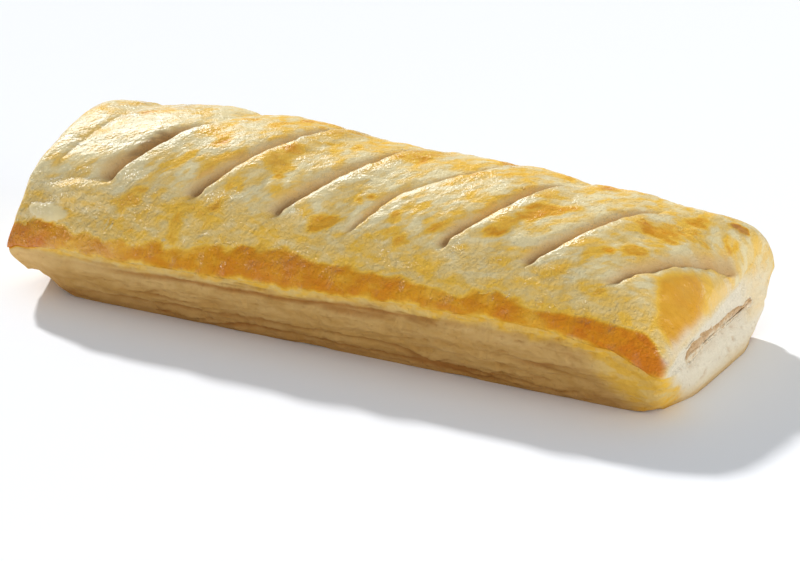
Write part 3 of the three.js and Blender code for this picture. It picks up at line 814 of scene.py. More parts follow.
def face_rings(ring, outline, mouth, side, flow):
    """Rings that close an end from the outline to the slit, with their marks."""
    t = (np.linspace(0, 1, FACE_STEPS + 2)[1:-1] ** FACE_BUNCHING)[:, None]
    points = mix(outline[None], mouth[None], t[..., None])
    points[..., 0] = mix(outline[None, :, 0], mouth[None, :, 0], np.sin(t * np.pi / 2))
    upper = np.broadcast_to(ring["kind"] == TOP, points.shape[:2])
    y, z = points[..., 1], points[..., 2]
    lid = upper & (y < LID_BACK_Y)
    flat = stack(0 * y + side * 50, y, z)
    skin = smooth(10, 15, y) * smooth(6, 9, z)
    pores = smooth(0.46, 0.66, noise(flat, (1, 1.3, 0.9), 73)) * (1 - skin)
    cracks = smooth(0.82, 0.95, 1 - np.abs(noise(flat, (1, 8, 2.1), 74)) * 2.2)
    cracks = cracks * smooth(0.2, 0.5, noise(flat, (1, 8, 8), 75)) * (1 - skin)
    away = np.sin(t * np.pi)
    bulge = np.where(lid, -0.1, np.where(upper, 0.4, 0.9)) * away
    rough = 0.3 * noise(flat, 4.5, 76) + 0.14 * noise(flat, 1.4, 77)
    cut = np.where(upper, 0.15 * pores, 0.35 * pores + 0.4 * cracks)
    shape = bulge + rough * (0.4 + 0.6 * away) - cut * smooth(0, 0.12, t)
    points[..., 0] += side * shape * smooth(0, 0.1, t) * (1 - 0.5 * smooth(0.85, 1, t))

    low = 1 - smooth(0.3, 5.5, z + 1.5 * noise(flat, 5, 78))
    corner = 1 - smooth(-15, -9, y + 1.2 * z + 2.5 * noise(flat, 4, 80))
    golden = np.maximum(corner, 0.8 * skin * (1 - smooth(0, 0.6, t)))
    lid_edge = 1 - smooth(0.02, 0.20, t + 0.08 * noise(flat, 3, 81))
    golden = np.where(lid, 0.75 * lid_edge, golden)
    rind = np.where(upper, 0, 0.38 * low)
    # Painted shade: the pores, the cracks and the lower edge of the slit are darkened on the lower part of
    # each end
    lip = 0.20 * smooth(0.72, 1, t + 0.12 * noise(flat, 2.4, 82)) * (np.abs(y) < SLIT_HALF_WIDTH)
    dark = np.where(upper, 0, 0.25 * pores + 0.35 * cracks + lip)
    marks = dict.fromkeys(MARKS, np.zeros_like(y))
    marks.update(
        browning=np.clip(0.24 + 0.12 * noise(flat, 4, 79) + 0.10 * corner, 0, 1),
        side=np.clip(rind * (1 - corner), 0, 1),
        crease=np.clip(dark, 0, 1) * smooth(0, 0.1, t),
        cream=np.clip(1 - np.maximum(rind, golden), 0, 1) * (1 - 0.35 * skin),
        flow=flow + stack(FACE_FLOW * MM * t * side, 0 * y, 0 * y),
    )
    return points, marks


def tunnel_rings(ring, mouths):
    """The hollow the filling lies in, from the right slit to the left one."""
    upper = ring["kind"] == TOP
    spots = (HALF_LENGTH - 1.5) * np.cos(np.pi * np.linspace(0, 1, TUNNEL_STEPS))
    rings = [mouths[1]]
    for x in spots:
        y, z = meat_section(np.full(ring["size"], x), slit_share(ring), upper, GAP)
        rings.append(stack(x + 0 * y, y, z))
    rings.append(mouths[0])
    points = np.array(rings)
    plain = np.zeros(points.shape[:2])
    marks = dict.fromkeys(MARKS, plain)
    marks.update(browning=plain + 0.25, cream=plain + 1, flow=np.zeros_like(points))
    return points, marks


def edge_yield(skin_rows, rows):
    """How freely each ring may move when the edges of the ends are rounded."""
    row = np.arange(rows)
    right_edge, left_edge = skin_rows - 0.5, -0.5
    from_right = row - right_edge
    from_left = np.minimum(row - left_edge, rows + left_edge - row)
    inward_right = 1 - smooth(*EDGE_REACH, np.abs(from_right))
    inward_left = 1 - smooth(*EDGE_REACH, np.abs(from_left))
    return EDGE_YIELD * np.maximum(inward_right, inward_left)[:, None, None]


def settled(rings, yielding, rounds):
    """Rings moved again and again towards the middle of their neighbours, as far as they yield."""
    for _ in range(rounds):
        middle = (np.roll(rings, 1, 0) + np.roll(rings, -1, 0)) / 2
        rings = mix(rings, middle, yielding)
    return rings


def ring_faces(rows, size, closed):
    """Quads between neighbouring rings."""
    here = np.arange(rows if closed else rows - 1)
    there = (here + 1) % rows
    j = np.arange(size)
    k = (j + 1) % size
    a = here[:, None] * size + j
    b = there[:, None] * size + j
    c = there[:, None] * size + k
    d = here[:, None] * size + k
    return np.stack([a, b, c, d], -1).reshape(-1, 4)


def mesh_object(name, points_mm, quads, marks=None, triangles=None):
    """A smooth-shaded mesh object with a number or a vector per vertex for each mark."""
    faces = [tuple(q) for q in quads.tolist()]
    if triangles is not None:
        faces += [tuple(t) for t in triangles.tolist()]
    mesh = bpy.data.meshes.new(name)
    mesh.from_pydata((points_mm.reshape(-1, 3) * MM).tolist(), [], faces)
    mesh.shade_smooth()
    for mark, values in (marks or {}).items():
        values = np.asarray(values, np.float32)
        vector = values.size == 3 * len(mesh.vertices)
        layer = mesh.attributes.new(mark, "FLOAT_VECTOR" if vector else "FLOAT", "POINT")
        layer.data.foreach_set("vector" if vector else "value", values.ravel())
    mesh.update()
    made = bpy.data.objects.new(name, mesh)
    bpy.context.scene.collection.objects.link(made)
    return made


def build_pastry():
    """The pastry case as one closed mesh."""
    ring, skin, skin_marks = finished_skin()
    mouths = [slit_mouth(ring, -1), slit_mouth(ring, 1)]
    right, right_marks = face_rings(ring, skin[-1], mouths[1], 1, skin_marks["flow"][-1])
    left, left_marks = face_rings(ring, skin[0], mouths[0], -1, skin_marks["flow"][0])
    hollow, hollow_marks = tunnel_rings(ring, mouths)
    points = np.concatenate([skin, right, hollow, left[::-1]])
    left_marks = {name: values[::-1] for name, values in left_marks.items()}
    parts = (skin_marks, right_marks, hollow_marks, left_marks)
    marks = {name: np.concatenate([part[name] for part in parts]) for name in skin_marks}

    yielding = edge_yield(len(skin), len(points))
    apart = np.linalg.norm(np.roll(points, -1, 0) - np.roll(points, 1, 0), axis=-1, keepdims=True) / 2
    yielding = yielding * np.minimum(1, (EDGE_SPACING / np.maximum(apart, 1e-6)) ** 2)
    flat_base = points[..., 2] < FLAT_Z
    points = settled(points, yielding, EDGE_ROUNDS)
    points[..., 2] = np.where(flat_base, np.minimum(points[..., 2], FLAT_Z), points[..., 2])
    points[..., 2] = np.maximum(points[..., 2], 0)
    for name in ("side", "cream", "browning", "glaze", "bare", "crease"):
        marks[name] = settled(marks[name], yielding[..., 0], MARK_ROUNDS)
    quads = ring_faces(len(points), ring["size"], closed=True)
    return mesh_object("pastry_case", points, quads, marks)


def flake_sheet(flake, number, foot, up):
    """Points of a flake's upper side: its middle, then its rings from the middle outwards."""
    turn = math.radians(flake.turn)
    lengthwise = np.array([math.cos(turn), math.sin(turn), 0])
    lengthwise -= up * (lengthwise @ up)
    lengthwise /= np.linalg.norm(lengthwise)
    across = np.cross(up, lengthwise)
    spoke = np.linspace(0, 2 * np.pi, FLAKE_SPOKES, endpoint=False)
    radius = np.arange(1, FLAKE_RINGS + 1) / FLAKE_RINGS
    circle = stack(np.cos(spoke) * 1.3, np.sin(spoke) * 1.3, 0 * spoke + 5 * number)
    reach = radius[:, None] * (1 + 0.45 * noise(circle, 0.9, 110))
    u = np.concatenate([[0], (reach * np.cos(spoke)).ravel()])
    v = np.concatenate([[0], (reach * np.sin(spoke)).ravel()])
    curl = flake.lift * smooth(-0.6, 1.3, u) + 0.12 * noise(stack(u, v, 0 * u + number), 0.7, 111) - 0.02
    spread = foot + np.outer(u * flake.length, lengthwise) + np.outer(v * flake.width, across)
    return spread + np.outer(curl, up)


def flake_faces(first, count):
    """Quads and triangles of a flake whose two sheets of so many points start at first."""
    k = np.arange(FLAKE_SPOKES)
    after = (k + 1) % FLAKE_SPOKES
    quads = []
    for ring_number in range(FLAKE_RINGS - 1):
        inner = 1 + ring_number * FLAKE_SPOKES
        outer = inner + FLAKE_SPOKES
        face = np.stack([inner + k, outer + k, outer + after, inner + after], -1)
        quads += [first + face, first + count + face[:, ::-1]]
    rim = 1 + (FLAKE_RINGS - 1) * FLAKE_SPOKES
    quads.append(first + np.stack([rim + k, count + rim + k, count + rim + after, rim + after], -1))
    fan = np.stack([0 * k, 1 + k, 1 + after], -1)
    return quads, [first + fan, first + count + fan[:, ::-1]]


def build_flakes():
    """Thin flakes that stand a little off the crust."""
    ring, skin, _ = finished_skin()
    top = ring["kind"] == TOP
    surface = skin[:, top]
    normals = grid_normals(skin)[:, top]
    points, quads, triangles, tones, toasted = [], [], [], [], []
    for number, flake in enumerate(FLAKES):
        apart = (surface[..., 0] - flake.x) ** 2 + (surface[..., 1] - flake.y) ** 2
        i, j = np.unravel_index(np.argmin(apart), apart.shape)
        foot, up = surface[i, j], normals[i, j]
        sheet = flake_sheet(flake, number, foot, up)
        more_quads, more_triangles = flake_faces(number * 2 * len(sheet), len(sheet))
        points.append(np.concatenate([sheet, sheet - up * FLAKE_THICKNESS]))
        quads += more_quads
        triangles += more_triangles
        tones += [flake.browning] * (2 * len(sheet))
        toasted += [flake.toasting] * (2 * len(sheet))
    points, tones = np.concatenate(points), np.array(tones)
    marks = dict.fromkeys(MARKS, 0 * tones)
    marks.update(browning=tones, torn=np.array(toasted), glaze=0 * tones + FLAKE_GLAZE, flow=points * MM)
    return mesh_object("pastry_flakes", points, np.concatenate(quads), marks, np.concatenate(triangles))


# ---------------------------------------------------------------- filling

def build_filling():
    """The sausage: a lumpy bar with a coarse face at each end."""
    angle = np.linspace(0, 2 * np.pi, MEAT_RING, endpoint=False)
    share, upper = np.cos(angle), np.sin(angle) >= 0
    reach = HALF_LENGTH - MEAT_RECESS
    spots = reach * np.cos(np.pi * np.linspace(0, 1, MEAT_STATIONS))
    rings = []
    for x in spots:
        y, z = meat_section(np.full(MEAT_RING, x), share, upper, 0)
        rings.append(stack(x + 0 * y, y, z))
    body = np.array(rings)
    normals = grid_normals(body)
    lumps = 0.22 * layered_noise(body, 2.6, 90) - 0.15
    inner = smooth(0, 6, HALF_LENGTH - np.abs(body[..., 0]))
    body = body + normals * (lumps * mix(CALM_SHARE, 1, inner))[..., None]

    right, left = meat_cap(body[0], 1), meat_cap(body[-1], -1)
    points = np.concatenate([right[::-1], body, left])
    quads = ring_faces(len(points), MEAT_RING, closed=False)
    centres = np.array([right[-1].mean(0), left[-1].mean(0)])
    first, last = len(points) * MEAT_RING, len(points) * MEAT_RING + 1
    j = np.arange(MEAT_RING)
    k = (j + 1) % MEAT_RING
    start = (len(points) - 1) * MEAT_RING
    fans = np.concatenate([
        np.stack([0 * j + first, j, k], -1),
        np.stack([0 * j + last, start + k, start + j], -1),
    ])
    flat = np.concatenate([points.reshape(-1, 3), centres])
    seared_and_shade = smooth(0.05, 0.6, noise(flat, 3.0, 93))
    # Painted shade: at the ends the meat is darker towards the top, under the slit's upper lip, and paler
    # below
    arched = SLIT_Z + SLIT_ARCH * (1 - ((flat[:, 1] - SLIT_Y) / SLIT_HALF_WIDTH) ** 2)
    shaded = smooth(-0.5, 0.7, flat[:, 2] - arched + 0.3 * noise(flat, 1.5, 94))
    at_end = smooth(HALF_LENGTH - 1.5, HALF_LENGTH - 0.4, np.abs(flat[:, 0]))
    seared_and_shade = mix(seared_and_shade, 0.1 + 0.8 * shaded, 0.8 * at_end)
    return mesh_object("sausage_meat", flat, quads[:, ::-1], {"seared_and_shade": seared_and_shade}, fans[:, ::-1])


def meat_cap(ring, side):
    """Rings that close one end of the filling, coarse and bulging a little."""
    middle = ring.mean(0)
    steps = np.linspace(0, 1, MEAT_CAP_RINGS + 1)[1:-1][:, None, None]
    seam = stack(middle[0], ring[:, 1], middle[2])
    rows = mix(ring[None], seam[None], steps)
    flat = stack(0 * rows[..., 0] + side * 30, rows[..., 1], rows[..., 2])
    coarse = 0.4 * noise(flat, 1.9, 91) + 0.2 * noise(flat, 0.8, 92)
    rows[..., 0] += side * (coarse + MEAT_BULGE) * smooth(0, 0.4, steps[..., 0])
    return rows


# ---------------------------------------------------------------- node helpers

def node(tree, kind, inputs=None, **settings):
    """A new shader node with its settings, values and links."""
    made = tree.nodes.new(kind)
    for name, value in settings.items():
        setattr(made, name, value)
    for name, value in (inputs or {}).items():
        if isinstance(value, bpy.types.NodeSocket):
            tree.links.new(value, made.inputs[name])
        else:
            made.inputs[name].default_value = value
    return made


def mark(tree, name):
    """The number stored on the mesh under a name."""
    return node(tree, "ShaderNodeAttribute", attribute_name=name).outputs["Fac"]


def maths(tree, operation, a, b=0.0, clamp=False):
    """The result of a sum of two numbers or sockets."""
    return node(tree, "ShaderNodeMath", {0: a, 1: b}, operation=operation, use_clamp=clamp).outputs[0]


def rest_of(tree, value):
    """1 less the value."""
    return maths(tree, "SUBTRACT", 1.0, value)


def blend(tree, factor, first, second, kind="MIX"):
    """Colour mix; first and second are sockets or linear colours."""
    made = node(tree, "ShaderNodeMix", {0: factor, 6: first, 7: second}, data_type="RGBA", blend_type=kind)
    return made.outputs[2]


def ramp(tree, factor, stops):
    """A colour for each factor, from stops of (place, linear colour)."""
    made = node(tree, "ShaderNodeValToRGB", {"Fac": factor})
    elements = made.color_ramp.elements
    while len(elements) < len(stops):
        elements.new(0.5)
    for element, (place, colour) in zip(elements, stops):
        element.position = place
        element.color = (*colour, 1)
    return made.outputs["Color"]


def group(name, inputs, outputs):
    """An empty shader node group; a tuple as a value makes a vector socket."""
    tree = bpy.data.node_groups.new(name, "ShaderNodeTree")
    for label, value in inputs.items():
        kind = "NodeSocketVector" if isinstance(value, tuple) else "NodeSocketFloat"
        tree.interface.new_socket(label, in_out="INPUT", socket_type=kind).default_value = value
    for label in outputs:
        tree.interface.new_socket(label, in_out="OUTPUT", socket_type="NodeSocketFloat")
    return tree, tree.nodes.new("NodeGroupInput").outputs, tree.nodes.new("NodeGroupOutput").inputs


def object_place(tree):
    """The place on the object, in metres."""
    return node(tree, "ShaderNodeTexCoord").outputs["Object"]


def grain(tree, scale, detail=3.0, roughness=0.55, place=None):
    """Noise over the object, 0 to 1, with scale per metre."""
    sockets = {
        "Vector": place or object_place(tree), "Scale": scale, "Detail": detail, "Roughness": roughness,
    }
    return node(tree, "ShaderNodeTexNoise", sockets).outputs["Fac"]


def between(tree, value, low, high, start=0.0, end=1.0):
    """Maps low to start and high to end, held beyond them."""
    return node(tree, "ShaderNodeMapRange", {"Value": value, 1: low, 2: high, 3: start, 4: end}).outputs[0]


def mottling_group():
    """Adds flecks of three sizes to a tone, drawn out along the strips or along the roll."""
    settings = {"Tone": 0.3, "Amount": 0.2, "Scale": 400.0, "Slant": 0.0, "Flow": (0.0, 0.0, 0.0)}
    tree, given, result = group("Baked mottling", settings, ["Tone"])
    stretched = node(tree, "ShaderNodeMapping", {"Vector": object_place(tree), "Scale": (0.65, 1.0, 1.4)})
    total = 0.0
    flecks = ((1.0, 0.43, 0.58, 0.44), (2.1, 0.46, 0.56, 0.43), (4.4, 0.45, 0.58, 0.13))
    for factor, low, high, weight in flecks:
        scale = maths(tree, "MULTIPLY", given["Scale"], factor)
        level = between(tree, grain(tree, scale, 1.0, 0.5, stretched.outputs[0]), low, high)
        leaned = between(tree, grain(tree, scale, 1.0, 0.5, given["Flow"]), low, high)
        mixed = node(tree, "ShaderNodeMix", {0: given["Slant"], 2: level, 3: leaned}).outputs[0]
        total = maths(tree, "ADD", total, maths(tree, "MULTIPLY", mixed, weight))
    held = between(tree, given["Tone"], 0.42, 0.66, 1.0, 0.5)
    shift = maths(tree, "MULTIPLY", maths(tree, "SUBTRACT", total, 0.45), given["Amount"])
    shift = maths(tree, "MULTIPLY", shift, held)
    flecked = maths(tree, "ADD", given["Tone"], shift, clamp=True)
    ceiling = maths(tree, "MAXIMUM", maths(tree, "ADD", given["Tone"], 0.10), 0.50)
    tree.links.new(maths(tree, "MINIMUM", flecked, ceiling), result["Tone"])
    return tree


def crumb_group():
    """Height of a dry crumb: fine grain with small open pores."""
    tree, given, result = group("Dry crumb", {"Scale": 900.0, "Pores": 0.5}, ["Height"])
    base = grain(tree, given["Scale"], 4.0, 0.6)
    cells = node(tree, "ShaderNodeTexVoronoi", {"Vector": object_place(tree), "Scale": given["Scale"]})
    pits = between(tree, cells.outputs["Distance"], 0.0, 0.35, 1.0, 0.0)
    cut = maths(tree, "MULTIPLY", pits, given["Pores"])
    tree.links.new(maths(tree, "SUBTRACT", base, cut), result["Height"])
    return tree


def place_group(tree, shared, inputs):
    """Uses a shared node group; returns its only output."""
    return node(tree, "ShaderNodeGroup", inputs, node_tree=shared).outputs[0]


def new_material(name):
    """A material with its node tree and the inputs of its shader."""
    made = bpy.data.materials.new(name)
    made.use_nodes = True
    tree = made.node_tree
    tree.nodes.clear()
    shader = tree.nodes.new("ShaderNodeBsdfPrincipled")
    output = tree.nodes.new("ShaderNodeOutputMaterial")
    tree.links.new(shader.outputs[0], output.inputs[0])
    return made, tree, shader.inputs


def shared_group(name, maker):
    """The node group of that name, made the first time it is asked for."""
    return bpy.data.node_groups.get(name) or maker()


# ---------------------------------------------------------------- finishes

def crust_material(look):
    """Glazed top, bare slash walls, layered sides and pale crumb of the pastry."""
    made, tree, shader = new_material("baked_crust")
    mottling = shared_group("Baked mottling", mottling_group)
    crumb = shared_group("Dry crumb", crumb_group)
    glaze, bare, side = mark(tree, "glaze"), mark(tree, "bare"), mark(tree, "side")
    cream, crease, torn = mark(tree, "cream"), mark(tree, "crease"), mark(tree, "torn")
    browned, slant, even = mark(tree, "browning"), mark(tree, "slant"), mark(tree, "even")
    flow = node(tree, "ShaderNodeAttribute", attribute_name="flow").outputs["Vector"]

    # Colour
    amount = maths(tree, "ADD", 0.32, maths(tree, "MULTIPLY", slant, 0.17))
    amount = maths(tree, "SUBTRACT", amount, maths(tree, "MULTIPLY", side, 0.18))
    amount = maths(tree, "MULTIPLY", amount, rest_of(tree, even))
    tone = place_group(tree, mottling, {
        "Tone": browned, "Amount": amount, "Scale": 210.0, "Slant": slant, "Flow": flow})
    glazed = ramp(tree, tone, [
        (0.00, look.pale), (0.25, look.straw), (0.50, look.golden), (0.75, look.amber), (1.00, look.dark),
    ])
    sided = ramp(tree, tone, [(0.0, look.side_pale), (0.5, look.side_tan), (1.0, look.side_brown)])
    colour = blend(tree, bare, glazed, (*look.bare, 1))
    colour = blend(tree, side, colour, sided)
    colour = blend(tree, cream, colour, (*look.cream, 1))
    colour = blend(tree, torn, colour, (*look.torn, 1))
    # Painted shade multiplied in over valleys, seams, creases, pores and the low sides
    deep = blend(tree, 1.0, colour, (*look.crease, 1), "MULTIPLY")
    colour = blend(tree, crease, colour, deep)
    tree.links.new(colour, shader["Base Color"])

    # Gloss of the glaze
    dry = maths(tree, "SUBTRACT", grain(tree, 700.0), 0.5)
    rough = maths(tree, "SUBTRACT", 0.80, maths(tree, "MULTIPLY", glaze, 0.38))
    rough = maths(tree, "ADD", rough, maths(tree, "MULTIPLY", dry, 0.3))
    tree.links.new(rough, shader["Roughness"])
    patchy = between(tree, grain(tree, 160.0, 3.0, 0.55, flow), 0.40, 0.56, 0.40, 1.0)
    unbrowned = between(tree, browned, 0.45, 0.80, 1.0, 0.75)
    wet = maths(tree, "MULTIPLY", maths(tree, "MULTIPLY", glaze, patchy), unbrowned)
    tree.links.new(wet, shader["Coat Weight"])
    shader["Coat Roughness"].default_value = 0.15
    shader["Coat IOR"].default_value = 1.7
    shader["Specular IOR Level"].default_value = 0.3
    shader["IOR"].default_value = 1.45

    # Ripples and wrinkles, lower on the strips
    level, leaned = grain(tree, 700.0, 2.0), grain(tree, 700.0, 2.0, 0.5, flow)
    coarse = node(tree, "ShaderNodeMix", {0: slant, 2: level, 3: leaned})
    ripples = maths(tree, "ADD", coarse.outputs[0], grain(tree, 1500.0, 1.0, 0.5))
    ripples = maths(tree, "SUBTRACT", ripples, 1.0)
    coated = maths(tree, "MULTIPLY", ripples, rest_of(tree, maths(tree, "MULTIPLY", slant, 0.4)))
    film = node(tree, "ShaderNodeBump", {"Height": coated, "Strength": 1.0, "Distance": 0.00028})
    tree.links.new(film.outputs[0], shader["Coat Normal"])
    off_strips = rest_of(tree, maths(tree, "MULTIPLY", slant, 0.5))
    wrinkled = maths(tree, "ADD", maths(tree, "MULTIPLY", glaze, 0.45), 0.42)
    wrinkled = maths(tree, "MULTIPLY", wrinkled, off_strips)
    plain = maths(tree, "MAXIMUM", maths(tree, "MAXIMUM", bare, side), even)
    wrinkled = maths(tree, "MULTIPLY", wrinkled, rest_of(tree, plain))
    wrinkles = maths(tree, "MULTIPLY", ripples, wrinkled)
    dry_height = maths(tree, "SUBTRACT", place_group(tree, crumb, {"Scale": 1100.0, "Pores": 0.4}), 0.3)
    dull = maths(tree, "MULTIPLY", rest_of(tree, glaze), 0.5)
    height = maths(tree, "ADD", wrinkles, maths(tree, "MULTIPLY", dry_height, dull))
    bump = node(tree, "ShaderNodeBump", {"Height": height, "Strength": 1.0, "Distance": 0.00065})
    tree.links.new(bump.outputs[0], shader["Normal"])
    return made


def meat_material(look):
    """Cooked sausage meat: coarse, pinkish tan, browned where it met the heat, and painted darker under the
    slit's upper lip as shade.
    """
    made, tree, shader = new_material("sausage_filling")
    mottling = shared_group("Baked mottling", mottling_group)
    crumb = shared_group("Dry crumb", crumb_group)
    tone = place_group(tree, mottling, {"Tone": mark(tree, "seared_and_shade"), "Amount": 0.7, "Scale": 500.0})
    colour = ramp(tree, tone, [(0.0, look.meat_light), (0.55, look.meat), (1.0, look.meat_dark)])
    tree.links.new(colour, shader["Base Color"])
    shader["Roughness"].default_value = 0.5
    height = place_group(tree, crumb, {"Scale": 1300.0, "Pores": 0.8})
    bump = node(tree, "ShaderNodeBump", {"Height": height, "Strength": 1.0, "Distance": 0.0003})
    tree.links.new(bump.outputs[0], shader["Normal"])
    return made


def floor_material(look):
    """Matt, pale floor."""
    made, tree, shader = new_material("pale_floor")
    shader["Base Color"].default_value = (*look.floor, 1)
    shader["Roughness"].default_value = 0.95
    shader["Specular IOR Level"].default_value = 0.0
    return made


# ---------------------------------------------------------------- settings

def colour_property(name, description, default):
    """A linear colour."""
    return FloatVectorProperty(
        name=name, description=description, default=default, subtype="COLOR", size=3, min=0, max=1)


def power_property(name, description, default):
    """Power of a lamp in watts."""
    return FloatProperty(name=name, description=description, default=default, unit="POWER", min=0)


def strength_property(name, description, default):
    """Strength of a light that comes from everywhere or from far away."""
    return FloatProperty(name=name, description=description, default=default, min=0)


def angle_property(name, description, degrees):
    """An angle, given in degrees."""
    return FloatProperty(
        name=name, description=description, default=math.radians(degrees), subtype="ANGLE")


class CrustLook(bpy.types.PropertyGroup):
    """Colours of the pastry."""
    pale: colour_property("Pale", "Least baked glazed crust", (0.87, 0.725, 0.40))
    straw: colour_property("Straw", "Lightly baked glazed crust", (0.86, 0.605, 0.21))
    golden: colour_property("Golden", "Golden glazed crust", (0.93, 0.55, 0.060))
    amber: colour_property("Amber", "Browned crust of the rim", (0.76, 0.32, 0.006))
    dark: colour_property("Dark", "Deepest browned crust", (0.68, 0.20, 0.002))
    bare: colour_property("Bare", "Unglazed walls of the slashes", (0.74, 0.54, 0.28))
    side_pale: colour_property("Side pale", "Palest layers of the side", (0.77, 0.51, 0.20))
    side_tan: colour_property("Side tan", "Most of the layered side", (0.55, 0.305, 0.080))
    side_brown: colour_property("Side brown", "Darkest layers and underside", (0.36, 0.155, 0.024))
    cream: colour_property("Cream", "Inner pastry at the cut ends", (0.89, 0.79, 0.60))
    torn: colour_property("Torn", "Torn layers deep in the widest slash", (0.44, 0.26, 0.10))
    crease: colour_property("Crease", "Shade multiplied into seams and valleys", (0.60, 0.37, 0.16))


class FillingLook(bpy.types.PropertyGroup):
    """Colours of the sausage meat."""
    meat_light: colour_property("Meat light", "Fat and light grains", (0.88, 0.75, 0.53))
    meat: colour_property("Meat", "Most of the meat", (0.74, 0.50, 0.26))
    # Also the colour of the painted shade under the slit's upper lip at the ends
    meat_dark: colour_property("Meat dark", "Browned grains", (0.58, 0.33, 0.13))


class StageLook(bpy.types.PropertyGroup):
    """Floor, lights and camera."""
    floor: colour_property("Floor", "Colour of the floor", (0.94, 0.945, 0.965))
    sun_strength: strength_property("Key strength", "Strength of the key light", 3.15)
    sun_softness: angle_property("Key softness", "Angle the key light fills", 4)
    sky_strength: strength_property("Fill strength", "Strength of the even light", 0.44)
    sky_gloss: strength_property("Fill in gloss", "Even light seen in the glaze", 0.30)
    side_power: power_property("Side power", "Power of the soft light on the right", 3.2)
    gloss_power: power_property("Gloss power", "Power of the soft light seen in the glaze", 10.5)
    sparkle_power: power_property("Sparkle power", "Power of the small light seen in the glaze", 1.6)
    front_power: power_property("Front power", "Power of the soft light in front", 1.5)
    azimuth: angle_property("Azimuth", "Camera's turn to the right", 27)
    elevation: angle_property("Elevation", "Camera's height over the table", 22.7)
    distance: FloatProperty(
        name="Distance", description="Camera to the roll", default=1.0, unit="LENGTH", min=0.1)
    focal_length: FloatProperty(
        name="Focal length", description="Focal length of the camera", default=217.8, unit="CAMERA", min=10)


KEY_DIRECTION = (-1.2, 1.0, 1.0)  # towards the key light
SIDE_PLACE = (0.95, -0.15, 0.3)
SIDE_SIZE = 0.6
FRONT_PLACE = (0.1, -1.1, 0.45)
FRONT_SIZE = 0.9
GLOSS_PLACE = (-0.97, 0.81, 0.86)
GLOSS_SIZE = 0.85
SPARKLE_PLACE = (-0.50, -0.98, 0.53)
SPARKLE_SIZE = 0.12
GLAZE_LIGHT_COLOUR = (0.86, 0.93, 1)
SKY_COLOUR = (0.90, 0.95, 1, 1)
WHITE = (1, 1, 1, 1)
TARGET = (0.00265, 0.0005, 0.00775)
SENSOR = 36
FLOOR_SIZE = 12


def make_floor(scene, look):
    """The square floor the roll lies on."""
    half = FLOOR_SIZE / 2
    corners = [(-half, -half, 0), (half, -half, 0), (half, half, 0), (-half, half, 0)]
    mesh = bpy.data.meshes.new("floor")
    mesh.from_pydata(corners, [], [(0, 1, 2, 3)])
    floor = bpy.data.objects.new("floor", mesh)
    scene.collection.objects.link(floor)
    mesh.materials.append(floor_material(look))
    return floor


def area_light(name, power, size, place):
    """A square light that faces the roll and that the camera doesn't see."""
    data = bpy.data.lights.new(name, "AREA")
    data.energy, data.size = power, size
    made = bpy.data.objects.new(name, data)
    made.location = place
    made.rotation_euler = made.location.to_track_quat("Z", "Y").to_euler()
    made.visible_camera = False
    return made


def make_lights(scene, look):
    """The key light, two soft lights, and two more that only show in the glaze."""
    sun = bpy.data.lights.new("key_light", "SUN")
    sun.energy, sun.angle = look.sun_strength, look.sun_softness
    key = bpy.data.objects.new("key_light", sun)
    key.rotation_euler = Vector(KEY_DIRECTION).to_track_quat("Z", "Y").to_euler()
    side = area_light("side_light", look.side_power, SIDE_SIZE, SIDE_PLACE)
    front = area_light("front_light", look.front_power, FRONT_SIZE, FRONT_PLACE)
    gloss = area_light("gloss_light", look.gloss_power, GLOSS_SIZE, GLOSS_PLACE)
    sparkle = area_light("sparkle_light", look.sparkle_power, SPARKLE_SIZE, SPARKLE_PLACE)
    for light in (gloss, sparkle):
        light.visible_diffuse = False
        light.data.color = GLAZE_LIGHT_COLOUR
    for light in (key, front):
        light.visible_glossy = False
    for light in (key, side, front, gloss, sparkle):
        scene.collection.objects.link(light)


def make_sky(scene, look):
    """Even light: white to the camera, dimmer in the glaze, a little blue on everything else."""
    world = scene.world or bpy.data.worlds.new("studio")
    scene.world = world
    world.use_nodes = True
    tree = world.node_tree
    tree.nodes.clear()
    skies = []
    for colour, strength in ((WHITE, 1.0), (SKY_COLOUR, look.sky_strength), (WHITE, look.sky_gloss)):
        sky = node(tree, "ShaderNodeBackground", {"Color": colour, "Strength": strength})
        skies.append(sky.outputs[0])
    seen, lit, mirrored = skies
    path = node(tree, "ShaderNodeLightPath").outputs
    unseen = node(tree, "ShaderNodeMixShader", {0: path["Is Glossy Ray"], 1: lit, 2: mirrored}).outputs[0]
    both = node(tree, "ShaderNodeMixShader", {0: path["Is Camera Ray"], 1: unseen, 2: seen}).outputs[0]
    node(tree, "ShaderNodeOutputWorld", {"Surface": both})


def make_camera(scene, look):
    """The camera, turned about its target."""
    lens = bpy.data.cameras.new("camera")
    lens.lens, lens.sensor_width = look.focal_length, SENSOR
    camera = bpy.data.objects.new("camera", lens)
    a, e = look.azimuth, look.elevation
    back = Vector((math.sin(a) * math.cos(e), -math.cos(a) * math.cos(e), math.sin(e)))
    right = Vector((math.cos(a), math.sin(a), 0))
    up = back.cross(right)
    turn = Matrix((right, up, back)).transposed().to_4x4()
    camera.matrix_world = Matrix.Translation(Vector(TARGET) + back * look.distance) @ turn
    scene.collection.objects.link(camera)
    scene.camera = camera


# ---------------------------------------------------------------- operators

class MakePastryCase(bpy.types.Operator):
    """Build the puff pastry case with its slashes, browned rim and layered sides"""
    bl_idname = "sausage_roll.make_pastry_case"
    bl_label = "Make pastry case"

    def execute(self, context):
        made = build_pastry()
        made.data.materials.append(crust_material(context.scene.crust_look))
        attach(made, BODY)
        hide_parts("pastry")
        return {"FINISHED"}


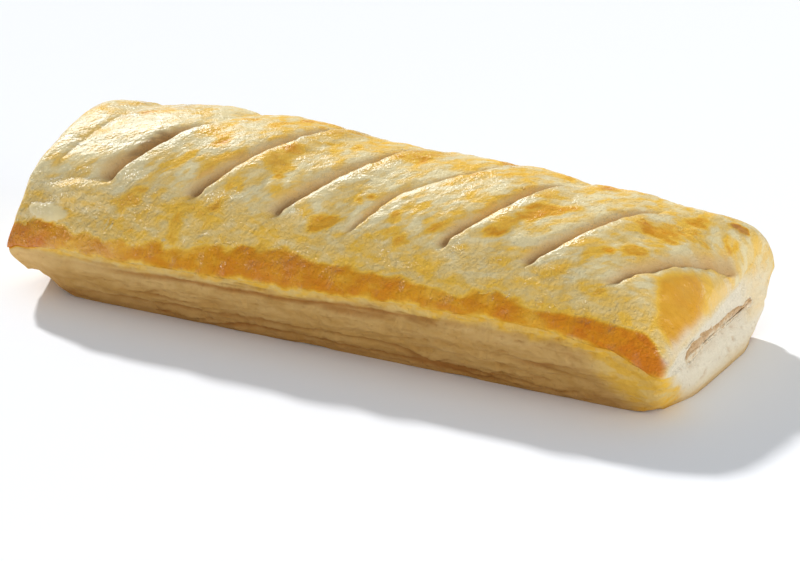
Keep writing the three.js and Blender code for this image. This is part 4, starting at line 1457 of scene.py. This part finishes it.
class MakeFilling(bpy.types.Operator):
    """Build the sausage meat that runs through the pastry"""
    bl_idname = "sausage_roll.make_filling"
    bl_label = "Make filling"

    def execute(self, context):
        made = build_filling()
        made.data.materials.append(meat_material(context.scene.filling_look))
        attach(made, BODY)
        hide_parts("sausage_filling")
        return {"FINISHED"}


class MakeFlakes(bpy.types.Operator):
    """Build the thin flakes that stand off the crust"""
    bl_idname = "sausage_roll.make_flakes"
    bl_label = "Make flakes"

    def execute(self, context):
        made = build_flakes()
        made.data.materials.append(bpy.data.materials["baked_crust"])
        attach(made, BODY)
        return {"FINISHED"}


class MakeStage(bpy.types.Operator):
    """Set the floor, the lights and the camera"""
    bl_idname = "sausage_roll.make_stage"
    bl_label = "Make stage"

    def execute(self, context):
        scene, look = context.scene, context.scene.stage_look
        floor = make_floor(scene, look)
        make_lights(scene, look)
        make_sky(scene, look)
        make_camera(scene, look)
        scene.view_settings.view_transform = "Standard"
        return {"FINISHED"}


class SausageRollPanel(bpy.types.Panel):
    """Lists the steps that build the roll, with their settings"""
    bl_idname = "VIEW3D_PT_sausage_roll"
    bl_label = "Sausage roll"
    bl_space_type = "VIEW_3D"
    bl_region_type = "UI"
    bl_category = "Sausage roll"

    def draw(self, context):
        for operator, look in STEPS:
            self.layout.operator(operator.bl_idname)
            settings = getattr(context.scene, look) if look else None
            for name in settings.__annotations__ if look else ():
                self.layout.prop(settings, name)


STEPS = [
    (MakePastryCase, "crust_look"), (MakeFilling, "filling_look"), (MakeFlakes, None),
    (MakeStage, "stage_look"),
]
LOOKS = {"crust_look": CrustLook, "filling_look": FillingLook, "stage_look": StageLook}


def register():
    """Makes the settings, the steps and the panel known."""
    for kind in (*LOOKS.values(), *(step for step, _ in STEPS), SausageRollPanel):
        bpy.utils.register_class(kind)
    for name, kind in LOOKS.items():
        setattr(bpy.types.Scene, name, PointerProperty(type=kind))


def unregister():
    """Takes the settings, the steps and the panel away again."""
    for name in LOOKS:
        delattr(bpy.types.Scene, name)
    for kind in (SausageRollPanel, *(step for step, _ in STEPS), *LOOKS.values()):
        bpy.utils.unregister_class(kind)


def main():
    """Builds the roll and its stage."""
    register()
    bpy.ops.sausage_roll.make_pastry_case()
    bpy.ops.sausage_roll.make_filling()
    bpy.ops.sausage_roll.make_flakes()
    bpy.ops.sausage_roll.make_stage()


if __name__ == "__main__":
    main()
